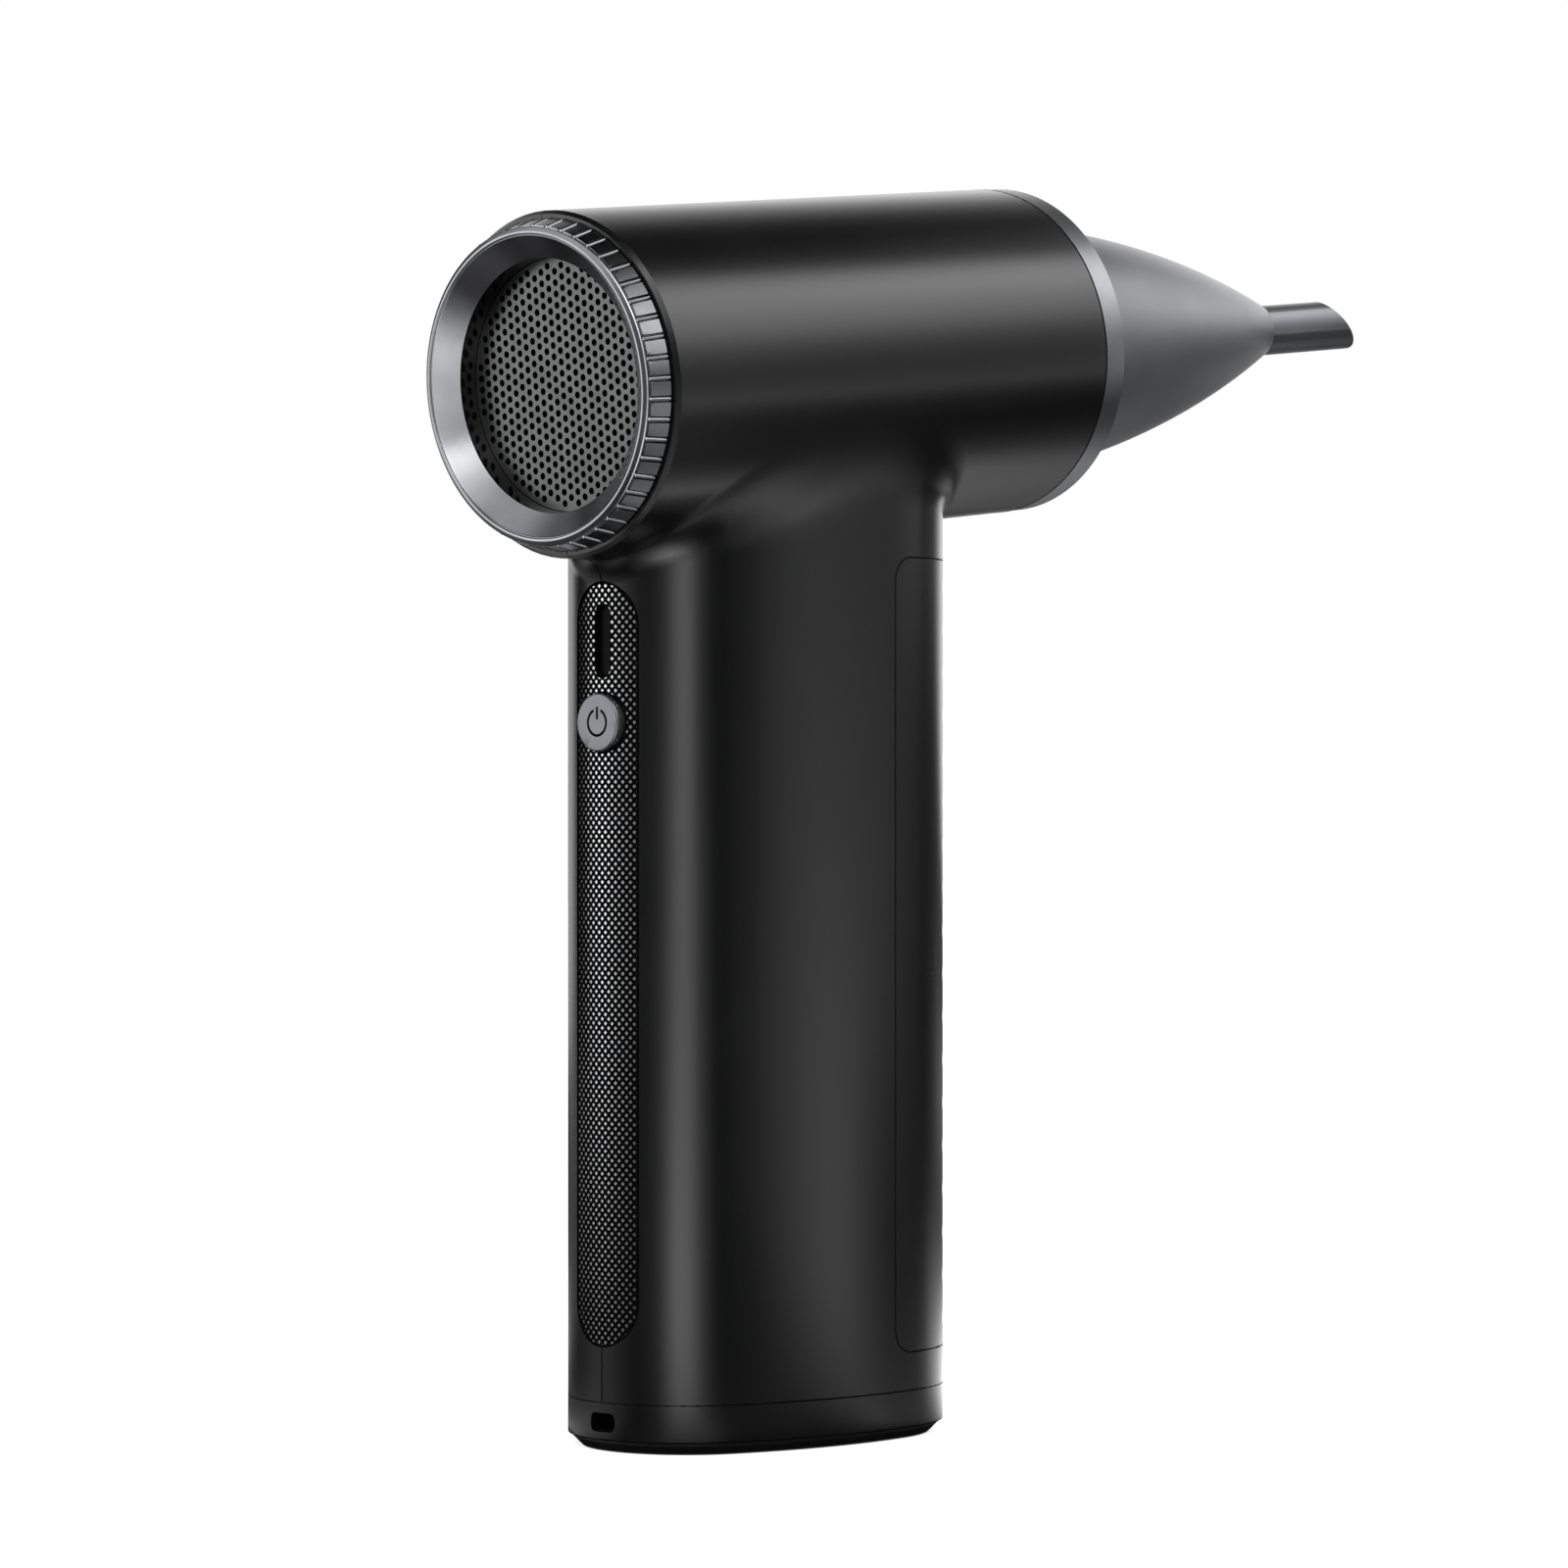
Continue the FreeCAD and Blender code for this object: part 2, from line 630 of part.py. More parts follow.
def make_base_cap():
    """Bottom cover with its side lips, screw wells, board posts and charging opening."""
    cap = handle_prism(CAP_BOTTOM, BASE_SEAM - SEAM_GAP)
    low = [e for e in cap.Edges if abs(e.BoundBox.ZMax - CAP_BOTTOM) < FIT_GAP]
    cap = cap.makeFillet(CAP_EDGE_RADIUS, low)
    cap = cap.cut([
        handle_prism(CAP_FLOOR_TOP, BASE_SEAM, HANDLE_WALL),
        handle_prism(0, FOOT_THICKNESS, FOOT_INSET - FIT_GAP),
    ])
    added = []
    lip = handle_prism(CAP_FLOOR_TOP, LIP_TOP, HANDLE_WALL + FIT_GAP)
    lip = lip.cut(handle_prism(CAP_FLOOR_TOP, LIP_TOP, HANDLE_WALL + FIT_GAP + CAP_LIP_WALL))
    half = CAP_LIP_LENGTH / 2
    lip = lip.common(box(CAP_LIP_X - half, CAP_LIP_X + half, -FAR, FAR, 0, LIP_TOP))
    foot = handle_prism(CAP_FLOOR_TOP, BASE_SEAM - SEAM_GAP, HANDLE_WALL / 2)
    foot = foot.cut(handle_prism(CAP_FLOOR_TOP, BASE_SEAM, HANDLE_WALL + FIT_GAP + CAP_LIP_WALL))
    foot = foot.common(box(CAP_LIP_X - half, CAP_LIP_X + half, -FAR, FAR, 0, LIP_TOP))
    added += [lip, foot]
    for x, y in half_turn_pair(BASE_SCREW_PLACES):
        added.append(upright(FOOT_THICKNESS, BASE_SEAM - SEAM_GAP, BOSS_RADIUS, x, y))
    for x, y in board_post_places():
        added.append(upright(CAP_FLOOR_TOP - FIT_GAP, charge_board_z(), POST_RADIUS, x, y))
    cap = joined(cap, added)
    holes = [port_opening(FIT_GAP)]
    for x, y in half_turn_pair(BASE_SCREW_PLACES):
        holes.append(upright(0, BASE_SEAM, SCREW_RADIUS, x, y))
        holes.append(upright(0, base_head_top(), SCREW_HEAD_RADIUS + MOVING_GAP, x, y))
    write("base_cap", cap.cut(holes))


def base_head_top():
    """Height where the base screws' heads press on the cap."""
    return FOOT_THICKNESS + MOVING_GAP + SCREW_HEAD_HEIGHT


def port_opening(gap):
    """Rounded charging opening through the cap's rear wall."""
    return rounded_block(HANDLE_REAR_X - PAST, WALL_INSIDE_X + PAST,
                         -PORT_WIDTH / 2 - gap, PORT_WIDTH / 2 + gap,
                         PORT_Z - PORT_HEIGHT / 2, PORT_Z + PORT_HEIGHT / 2 + gap,
                         PORT_CORNER, Vector(1, 0, 0))


def charge_board_z():
    """Underside of the charge board, on top of the socket."""
    return PORT_Z + PORT_HEIGHT / 2 + FIT_GAP


def charge_board_x():
    """Rear edge of the charge board, just inside the cap's curved wall."""
    return inner_wall_x(CHARGE_BOARD_WIDTH / 2) + FIT_GAP


def board_post_places():
    """Four posts under the charge board, two behind the socket and two at its front."""
    x0 = charge_board_x() + SOCKET_LENGTH + 2 * POST_RADIUS
    x1 = charge_board_x() + CHARGE_BOARD_LENGTH - 2 * POST_RADIUS
    y = CHARGE_BOARD_WIDTH / 2 - POST_RADIUS
    return [(x, side * y) for x in (x0, x1) for side in (1, -1)]


def make_foot_pad():
    """Soft pad set into the cap's underside."""
    pad = handle_prism(0, FOOT_THICKNESS - FIT_GAP, FOOT_INSET)
    low = [e for e in pad.Edges if e.BoundBox.ZMax < FIT_GAP / 2]
    write("foot_pad", pad.makeChamfer(FOOT_EDGE, low))


def make_charging():
    """Charging socket with its tongue, and the board that carries it."""
    x0 = HANDLE_REAR_X + PORT_SINK
    x1 = x0 + SOCKET_LENGTH
    half = PORT_WIDTH / 2
    z0 = PORT_Z - PORT_HEIGHT / 2 + FIT_GAP
    z1 = PORT_Z + PORT_HEIGHT / 2
    shell = rounded_block(x0, x1, -half, half, z0, z1, PORT_CORNER - FIT_GAP, Vector(1, 0, 0))
    wall = SOCKET_WALL
    x2 = x1 - SOCKET_BACK
    hollow = rounded_block(x0 - PAST, x2, -half + wall, half - wall, z0 + wall, z1 - wall,
                           PORT_CORNER - FIT_GAP - wall, Vector(1, 0, 0))
    write("charge_socket", shell.cut(hollow))
    reach = half - PORT_CORNER
    tongue = box(x0 + TONGUE_SINK, x2, -reach, reach,
                 PORT_Z - TONGUE_THICKNESS / 2, PORT_Z + TONGUE_THICKNESS / 2)
    write("socket_tongue", tongue)
    x3 = charge_board_x()
    half = CHARGE_BOARD_WIDTH / 2
    z = charge_board_z()
    board = box(x3, x3 + CHARGE_BOARD_LENGTH, -half, half, z, z + BOARD_THICKNESS)
    write("charge_board", board)


def make_grip_insert():
    """Front grip insert with shallow waves that fade towards its sides."""
    skin = handle_prism(0, BARREL_REAR_Z).cut(handle_prism(0, BARREL_REAR_Z, GRIP_THICKNESS))
    insert = skin.common(grip_region(0))
    center_x = HANDLE_REAR_X + HANDLE_DEPTH - FRONT_NOSE_RADIUS - WAVE_FADE
    reach = FRONT_NOSE_RADIUS - WAVE_DEPTH + WAVE_FADE
    curve = (WAVE_PITCH**2 / 4 + WAVE_DEPTH**2) / (2 * WAVE_DEPTH)
    middle = (GRIP_BOTTOM + GRIP_TOP) / 2
    waves = []
    for k in range(WAVE_COUNT):
        z = middle + (k - (WAVE_COUNT - 1) / 2) * WAVE_PITCH
        waves.append(Part.makeTorus(reach + curve, curve, Vector(center_x, 0, z)))
    write("grip_insert", insert.cut(waves).Solids[0])


def make_rear_strip():
    """Textured strip with its slot and button hole."""
    skin = handle_prism(0, BARREL_REAR_Z, STRIP_SINK)
    skin = skin.cut(handle_prism(0, BARREL_REAR_Z, STRIP_SINK + STRIP_THICKNESS))
    shape = stadium(HANDLE_REAR_X - PAST, HANDLE_REAR_X + REAR_NOSE_RADIUS / 2, STRIP_WIDTH,
                    STRIP_BOTTOM, STRIP_TOP)
    write("rear_strip", skin.common(shape).cut([window_hole(FIT_GAP), button_hole()]))


def inner_wall_x(half_width):
    """Place along X where the rear wall's curved inside reaches a half width."""
    reach = REAR_NOSE_RADIUS - HANDLE_WALL
    return HANDLE_REAR_X + REAR_NOSE_RADIUS - math.sqrt(reach**2 - half_width**2)


def make_indicator():
    """Smoked window in the slot, and the row of lamps behind it."""
    lip_x = inner_wall_x(WINDOW_WIDTH / 2 + WINDOW_LIP) + FIT_GAP
    window = stadium(HANDLE_REAR_X + WINDOW_SINK, lip_x + WINDOW_LIP_THICKNESS, WINDOW_WIDTH,
                     WINDOW_BOTTOM, WINDOW_TOP)
    lip = stadium(lip_x, lip_x + WINDOW_LIP_THICKNESS, WINDOW_WIDTH + 2 * WINDOW_LIP,
                  WINDOW_BOTTOM - WINDOW_LIP, WINDOW_TOP + WINDOW_LIP)
    write("indicator_window", joined(window, [lip]))
    pitch = (WINDOW_TOP - WINDOW_BOTTOM) / LAMP_COUNT
    half = LAMP_SIZE / 2
    lamps = []
    for k in range(LAMP_COUNT):
        z = WINDOW_BOTTOM + (k + 0.5) * pitch
        lamps.append(box(CONTROL_BOARD_X - LAMP_HEIGHT, CONTROL_BOARD_X, -half, half,
                         z - half, z + half))
    write("indicator_lamps", group(lamps))


def make_power_button():
    """Round button with an engraved power sign, a flange and a stem."""
    face_x = HANDLE_REAR_X - BUTTON_PROUD
    flange_x = inner_wall_x(BUTTON_RADIUS + BUTTON_FLANGE) + MOVING_GAP
    flange_end = flange_x + BUTTON_FLANGE_THICKNESS
    cap = rod(face_x, flange_end, BUTTON_RADIUS, 0, BUTTON_Z)
    edge = [e for e in cap.Edges if abs(e.BoundBox.XMax - face_x) < FIT_GAP]
    cap = cap.makeFillet(BUTTON_EDGE, edge)
    flange = rod(flange_x, flange_end, BUTTON_RADIUS + BUTTON_FLANGE, 0, BUTTON_Z)
    stem_end = switch_x() - BUTTON_TRAVEL - MOVING_GAP - PLUNGER_RADIUS / 2
    stem = rod(flange_end - BUTTON_FLANGE_THICKNESS, stem_end, PLUNGER_RADIUS, 0, BUTTON_Z)
    button = joined(cap, [flange, stem])
    write("power_button", button.cut(power_sign(face_x)))
    plunger = rod(stem_end, switch_x() + MOVING_GAP, PLUNGER_RADIUS, 0, BUTTON_Z)
    write("switch_plunger", plunger)


def power_sign(face_x):
    """Open ring and upright bar, cut into the button's face."""
    x0 = face_x - PAST
    x1 = face_x + ICON_DEPTH
    half = ICON_LINE / 2
    ring = rod(x0, x1, ICON_RADIUS + half, 0, BUTTON_Z)
    ring = ring.cut(rod(x0, x1, ICON_RADIUS - half, 0, BUTTON_Z))
    reach = 2 * ICON_RADIUS
    side = reach * math.tan(math.radians(ICON_OPENING / 2))
    corners = [(0, 0), (side, reach), (-side, reach), (0, 0)]
    gap = Part.Face(Part.makePolygon([Vector(x0, y, BUTTON_Z + z) for y, z in corners]))
    ring = ring.cut(gap.extrude(Vector(x1 - x0, 0, 0)))
    bar = box(x0, x1, -half, half, BUTTON_Z + ICON_RADIUS / 4, BUTTON_Z + ICON_RADIUS + 2 * half)
    return [ring, bar]


def switch_x():
    """Rear face of the button's switch on the control board."""
    return CONTROL_BOARD_X - SWITCH_HEIGHT


def make_control_board():
    """Control board with its switch, transistors, capacitor and motor connector."""
    half = CONTROL_BOARD_WIDTH / 2
    x0 = CONTROL_BOARD_X
    x1 = x0 + CONTROL_BOARD_THICKNESS
    board = box(x0, x1, -half, half, CONTROL_BOARD_BOTTOM, CONTROL_BOARD_TOP)
    write("control_board", board)
    half = SWITCH_SIZE / 2
    switch = box(switch_x(), x0, -half, half, BUTTON_Z - half, BUTTON_Z + half)
    bore_end = switch_x() + MOVING_GAP + BUTTON_TRAVEL + MOVING_GAP
    bore = rod(switch_x() - PAST, bore_end, PLUNGER_RADIUS + RUNNING_GAP, 0, BUTTON_Z)
    write("button_switch", switch.cut(bore))
    half = TRANSISTOR_SIZE / 2
    chips = []
    for k in range(TRANSISTOR_COUNT):
        y = (k % 2 - 0.5) * TRANSISTOR_PITCH_ACROSS
        z = CONTROL_BOARD_BOTTOM + TRANSISTOR_START + k // 2 * TRANSISTOR_PITCH_ALONG
        chips.append(box(x1, x1 + TRANSISTOR_HEIGHT, y - half, y + half, z - half, z + half))
    write("power_transistors", group(chips))
    can = rod(x1, x1 + CAPACITOR_HEIGHT, CAPACITOR_RADIUS, 0, CONTROL_BOARD_TOP - CAPACITOR_DROP)
    write("board_capacitor", can.makeFillet(CAPACITOR_EDGE, can.Edges[0]))
    half = CONNECTOR_SIZE / 2
    z = motor_connector_z()
    write("motor_connector", box(x1, x1 + CONNECTOR_SIZE, -half, half, z - half / 2, z + half / 2))


def motor_connector_z():
    """Height of the motor connector on the control board."""
    return CONTROL_BOARD_TOP - CONNECTOR_DROP


def cell_places():
    """Centres of the four cells, two by two."""
    pitch = 2 * CELL_RADIUS + CELL_GAP
    return [(CELLS_X + k * pitch, side * pitch / 2) for k in (0, 1) for side in (1, -1)]


def holder_plate(z0, z1, pocket_z0, pocket_z1):
    """Plate across the handle with a round pocket for each cell."""
    pitch = 2 * CELL_RADIUS + CELL_GAP
    plate = handle_prism(z0, z1, HANDLE_WALL + FIT_GAP)
    end_x = CELLS_X + pitch + CELL_RADIUS + HOLDER_FLOOR
    plate = plate.common(box(-FAR, end_x, -FAR, FAR, z0, z1))
    bore = CELL_RADIUS + HOLDER_BORE_GAP
    return plate.cut([upright(pocket_z0, pocket_z1, bore, x, y) for x, y in cell_places()])


def make_battery():
    """Four cells, the two holder plates and the metal straps between them."""
    cells = []
    for x, y in cell_places():
        cell = upright(CELL_START, CELL_END, CELL_RADIUS, x, y)
        rims = [e for e in cell.Edges if isinstance(e.Curve, Part.Circle)]
        cells.append(cell.makeFillet(CELL_EDGE, rims))
    write("battery_cells", group(cells))
    floor = CELL_START - STRAP_THICKNESS
    write("cell_holder_lower", holder_plate(HOLDER_START, CELL_START + HOLDER_GRIP, floor,
                                            CELL_START + HOLDER_GRIP))
    roof = CELL_END + STRAP_THICKNESS
    write("cell_holder_upper", holder_plate(CELL_END - HOLDER_GRIP, roof + HOLDER_FLOOR,
                                            CELL_END - HOLDER_GRIP, roof))
    pads = []
    for z in (floor, CELL_END):
        for x, y in cell_places():
            pads.append(upright(z, z + STRAP_THICKNESS, STRAP_WIDTH / 2, x, y))
    write("cell_contacts", group(pads))


def knurl_radius(x):
    """Radius of the knurled band, which narrows towards the rear."""
    front = -REAR_CHAMFER_LENGTH - MOVING_GAP
    rear = -RING_REACH + SHOULDER_LENGTH
    wide = REAR_END_RADIUS - KNURL_INSET
    return wide - KNURL_TAPER * (front - x) / (front - rear)


def make_speed_ring():
    """Turning inlet ring: funnel, rim, knurled band and the sleeve that snaps in."""
    front = -REAR_CHAMFER_LENGTH - MOVING_GAP
    rear = -RING_REACH
    shoulder = rear + SHOULDER_LENGTH
    notch = shoulder + KNURL_NOTCH
    funnel = INLET_RADIUS + FUNNEL_SPREAD
    low = knurl_radius(shoulder) - KNURL_DEPTH
    snap = SLEEVE_OUT + MOVING_GAP + SNAP_HEIGHT
    snap_start = LIP_START + LIP_LENGTH + MOVING_GAP
    profile = [
        (FUNNEL_END, INLET_RADIUS),
        (rear, funnel),
        (rear, funnel + RIM_WIDTH),
        (rear + SHOULDER_LENGTH / 3, knurl_radius(shoulder) - SHOULDER_LENGTH / 3),
        (shoulder, knurl_radius(shoulder)),
        (shoulder, low),
        (notch, low),
        (notch, knurl_radius(notch)),
        (front, knurl_radius(front)),
        (front, SLEEVE_OUT),
        (snap_start, SLEEVE_OUT),
        (snap_start, snap),
        (snap_start + SNAP_LENGTH / 3, snap),
        (snap_start + SNAP_LENGTH, SLEEVE_OUT),
        (SLEEVE_LENGTH, SLEEVE_OUT),
        (SLEEVE_LENGTH, SLEEVE_IN),
        (FUNNEL_END, SLEEVE_IN),
    ]
    ring = turned(profile)
    grooves = []
    ribs = []
    half = RIB_GROOVE_WIDTH / 2
    for k in range(RIB_COUNT):
        turn = Rotation(Vector(1, 0, 0), 360.0 * k / RIB_COUNT)
        groove = box(notch, front + PAST, -half, half, low, BARREL_RADIUS)
        rib = tapered_rib(shoulder, front)
        for tool in (groove, rib):
            tool.Placement = Placement(Vector(0, 0, 0), turn)
        grooves.append(groove)
        ribs.append(rib)
    ring = ring.cut(grooves).fuse(ribs).removeSplitter()
    write("speed_ring", in_barrel(ring.cut(magnet_block(FIT_GAP))))


def tapered_rib(start, end):
    """Round rib that follows the knurled band's taper."""
    lift = RIB_PROUD - RIB_RADIUS
    foot = Vector(start - FIT_GAP, 0, knurl_radius(start) + lift)
    run = Vector(end, 0, knurl_radius(end) + lift).sub(foot)
    return Part.makeCylinder(RIB_RADIUS, run.Length, foot, run).common(
        box(start - FIT_GAP, end, -RIB_RADIUS, RIB_RADIUS, 0, BARREL_RADIUS))


def magnet_block(gap):
    """Room of the position magnet at the sleeve's inner end."""
    half = MAGNET_SIZE / 2 + gap
    middle = (SLEEVE_IN + SLEEVE_OUT) / 2
    return box(SLEEVE_LENGTH - MAGNET_DEPTH - gap, SLEEVE_LENGTH + gap, -half, half,
               middle - MAGNET_DEPTH / 2 - gap, middle + MAGNET_DEPTH / 2 + gap)


def make_ring_sensor():
    """Magnet in the speed ring, and the sensor that reads it on the inlet frame."""
    half = MAGNET_SIZE / 2
    middle = (SLEEVE_IN + SLEEVE_OUT) / 2
    start = SLEEVE_LENGTH - MAGNET_DEPTH
    magnet = box(start, SLEEVE_LENGTH, -half, half, middle - MAGNET_DEPTH / 2,
                 middle + MAGNET_DEPTH / 2)
    write("ring_magnet", in_barrel(magnet))
    half = SENSOR_SIZE / 2
    low = FRAME_OUT + FIT_GAP
    sensor = box(FRAME_FLANGE_START - SENSOR_HEIGHT, FRAME_FLANGE_START, -half, half,
                 low, low + SENSOR_SIZE / 2)
    write("speed_sensor", in_barrel(sensor))


def make_inlet_frame():
    """Fixed tube that carries the speed ring and the mesh."""
    start = FUNNEL_END + MOVING_GAP
    mesh_end = MESH_START + MESH_THICKNESS
    ledge_end = mesh_end + MESH_LEDGE_LENGTH
    flange_end = FRAME_FLANGE_START + FRAME_FLANGE
    profile = [
        (start, INLET_RADIUS),
        (start, FRAME_OUT),
        (FRAME_FLANGE_START, FRAME_OUT),
        (FRAME_FLANGE_START, BARREL_BORE - FIT_GAP),
        (flange_end, BARREL_BORE - FIT_GAP),
        (flange_end, FRAME_OUT),
        (FRAME_LENGTH, FRAME_OUT),
        (FRAME_LENGTH, INLET_RADIUS),
        (ledge_end, INLET_RADIUS),
        (ledge_end, INLET_RADIUS - MESH_LEDGE),
        (mesh_end, INLET_RADIUS - MESH_LEDGE),
        (mesh_end, INLET_RADIUS),
    ]
    write("inlet_frame", in_barrel(turned(profile)))


def make_inlet_mesh():
    """Thin round grille with staggered holes."""
    radius = INLET_RADIUS - FIT_GAP
    limit = radius - MESH_RIM - MESH_HOLE_RADIUS
    row = MESH_PITCH * math.sqrt(3) / 2
    count = int(radius / row) + 1
    wires = [Part.Wire(Part.makeCircle(radius, Vector(MESH_START, 0, 0), Vector(1, 0, 0)))]
    for i in range(-count, count + 1):
        for j in range(-count, count + 1):
            y = i * row
            z = (j + (i % 2) / 2) * MESH_PITCH
            if math.hypot(y, z) < limit:
                hole = Part.makeCircle(MESH_HOLE_RADIUS, Vector(MESH_START, y, z), Vector(1, 0, 0))
                wires.append(Part.Wire(hole))
    face = Part.Face(wires, "Part::FaceMakerBullseye")
    write("inlet_mesh", in_barrel(face.extrude(Vector(MESH_THICKNESS, 0, 0))))


def slanted_plate(x0, x1, thickness, angle, outer):
    """Flat plate standing on the axis, turned about its own radius."""
    length = x1 - x0
    plate = box(-length, length, -thickness / 2, thickness / 2, 0, outer)
    plate.Placement = Placement(Vector((x0 + x1) / 2, 0, 0), Rotation(Vector(0, 0, 1), angle))
    return plate.common(box(x0, x1, -outer, outer, 0, outer))


def around_axis(shape, count):
    """Copies of a shape set evenly round the X axis."""
    copies = []
    for k in range(count):
        copy = shape.copy()
        turn = Placement(Vector(0, 0, 0), Rotation(Vector(1, 0, 0), 360.0 * k / count))
        copy.Placement = turn.multiply(copy.Placement)
        copies.append(copy)
    return copies


def make_impeller():
    """Mixed-flow impeller on a cone-shaped hub."""
    end = IMPELLER_START + IMPELLER_LENGTH
    tip = SHROUD_IN - BLADE_TIP_GAP
    nose = IMPELLER_START - IMPELLER_NOSE_RADIUS / 2
    hub = turned([
        (nose, 0),
        (nose, IMPELLER_NOSE_RADIUS / 2),
        (IMPELLER_START, IMPELLER_NOSE_RADIUS),
        (end, HUB_RADIUS),
        (end, 0),
    ])
    blade = slanted_plate(IMPELLER_START, end, BLADE_THICKNESS, BLADE_ANGLE, tip)
    blade = blade.common(rod(IMPELLER_START, end, tip))
    impeller = hub.fuse(around_axis(blade, BLADE_COUNT)).removeSplitter()
    bore = rod(end - IMPELLER_LENGTH / 2, end, SHAFT_RADIUS)
    write("impeller", in_barrel(impeller.cut(bore)))


def can_end():
    """Front end of the motor can."""
    return CAN_START + CAN_LENGTH


def make_fan_shroud():
    """Duct with straightening vanes that carry the motor can."""
    end = SHROUD_START + SHROUD_LENGTH
    shroud = tube(SHROUD_START, end, SHROUD_IN, SHROUD_OUT)
    can = rod(CAN_START, can_end(), CAN_RADIUS)
    vane = slanted_plate(CAN_START, can_end(), VANE_THICKNESS, VANE_ANGLE, SHROUD_OUT)
    vane = vane.common(rod(CAN_START, can_end(), SHROUD_IN + SHROUD_WALL / 2))
    vane = vane.cut(rod(CAN_START, can_end(), CAN_RADIUS - CAN_WALL / 2))
    body = joined(shroud, [can] + around_axis(vane, VANE_COUNT))
    inner = CAN_RADIUS - CAN_WALL
    body = body.cut([
        rod(CAN_START + CAN_END_WALL, can_end(), inner),
        rod(CAN_START - PAST, can_end(), BEARING_RADIUS + PRESS_GAP),
    ])
    write("fan_shroud", in_barrel(body))


def make_motor():
    """Shaft, magnet, bearings, stator and its coils, and the tail cone that closes the can."""
    end = can_end()
    middle = (CAN_START + CAN_END_WALL + end) / 2
    shaft = rod(IMPELLER_START + IMPELLER_LENGTH / 2, end - FIT_GAP, SHAFT_RADIUS)
    write("rotor_shaft", in_barrel(shaft))
    half = ROTOR_LENGTH / 2
    magnet = tube(middle - half, middle + half, SHAFT_RADIUS, ROTOR_RADIUS)
    write("rotor_magnet", in_barrel(magnet))
    bearing = tube(CAN_START, CAN_START + CAN_END_WALL, SHAFT_RADIUS + RUNNING_GAP, BEARING_RADIUS)
    write("rear_bearing", in_barrel(bearing))
    bearing = tube(end - CAN_END_WALL, end, SHAFT_RADIUS + RUNNING_GAP, BEARING_RADIUS)
    write("front_bearing", in_barrel(bearing))
    bore = ROTOR_RADIUS + AIR_GAP
    outer = CAN_RADIUS - CAN_WALL
    half = STATOR_LENGTH / 2
    ring = tube(middle - half, middle + half, outer - STATOR_RING, outer)
    tooth = box(middle - half, middle + half, -TOOTH_WIDTH / 2, TOOTH_WIDTH / 2,
                bore, outer - STATOR_RING / 2)
    shoe = tube(middle - half, middle + half, bore, bore + STATOR_RING / 2)
    shoe = shoe.common(box(middle - half, middle + half, -TOOTH_WIDTH, TOOTH_WIDTH, 0, outer))
    stator = joined(ring, around_axis(tooth.fuse(shoe), TOOTH_COUNT))
    stator = stator.cut(rod(middle - half - PAST, middle + half + PAST, bore))
    write("stator_core", in_barrel(stator))
    wide = TOOTH_WIDTH / 2 + COIL_WIDTH
    high = outer - STATOR_RING - FIT_GAP
    low = bore + STATOR_RING / 2 + FIT_GAP
    coil = box(middle - half - COIL_WIDTH, middle + half + COIL_WIDTH, -wide, wide, low, high)
    coil = coil.cut(box(middle - half - FIT_GAP, middle + half + FIT_GAP, -TOOTH_WIDTH / 2,
                        TOOTH_WIDTH / 2, low - PAST, high + PAST))
    coil = coil.common(rod(middle - FAR, middle + FAR, high))
    write("stator_coils", in_barrel(group(around_axis(coil, TOOTH_COUNT))))
    plug = CAN_RADIUS - CAN_WALL - FIT_GAP
    tail = turned([
        (end - CAN_END_WALL, BEARING_RADIUS + FIT_GAP),
        (end - CAN_END_WALL, plug),
        (end, plug),
        (end, CAN_RADIUS),
        (end + TAIL_LENGTH, TAIL_RADIUS),
        (end + TAIL_LENGTH, 0),
        (end + FIT_GAP, 0),
        (end + FIT_GAP, BEARING_RADIUS + FIT_GAP),
    ])
    write("tail_cone", in_barrel(tail))


def make_fan_mounts():
    """Two rubber rings that carry the fan in the barrel."""
    rear = SHROUD_START + MOUNT_INSET
    front = SHROUD_START + SHROUD_LENGTH - MOUNT_INSET - MOUNT_LENGTH
    inner = SHROUD_OUT + FIT_GAP / 2
    outer = BARREL_BORE - FIT_GAP / 2
    write("rear_fan_mount", in_barrel(tube(rear, rear + MOUNT_LENGTH, inner, outer)))
    write("front_fan_mount", in_barrel(tube(front, front + MOUNT_LENGTH, inner, outer)))


def make_front_trim():
    """Metal ring round the outlet, with the sleeve that plugs into the barrel."""
    sleeve_start = TRIM_START - TRIM_SLEEVE_LENGTH
    profile = [
        (sleeve_start, TRIM_SLEEVE_IN),
        (sleeve_start, TRIM_SLEEVE_OUT),
        (TRIM_START, TRIM_SLEEVE_OUT),
        (TRIM_START, TRIM_RADIUS),
        (TRIM_END - TRIM_EDGE, TRIM_RADIUS),
        (TRIM_END, TRIM_RADIUS - TRIM_EDGE),
        (TRIM_END, TRIM_RADIUS - 2 * TRIM_EDGE),
        (TRIM_END - TRIM_DISH, TRIM_BORE),
        (DUCT_END + FIT_GAP, TRIM_BORE),
        (DUCT_END + FIT_GAP, TRIM_SLEEVE_IN),
    ]
    write("front_trim_ring", in_barrel(turned(profile)))


def snap_ring_start():
    """Rear face of the retaining ring's groove in the outlet duct."""
    return DUCT_END - SNAP_RING_BACK


def make_outlet_duct():
    """Round outlet that leads from the fan into the nozzle."""
    start = SHROUD_START + SHROUD_LENGTH + FIT_GAP
    duct = tube(start, DUCT_END, DUCT_IN, DUCT_OUT)
    groove_start = snap_ring_start()
    groove = rod(groove_start, groove_start + SNAP_RING_WIDTH + 2 * FIT_GAP,
                 SPIGOT_OUT + RUNNING_GAP + SNAP_RING_THICKNESS + FIT_GAP)
    write("outlet_duct", in_barrel(duct.cut(groove)))


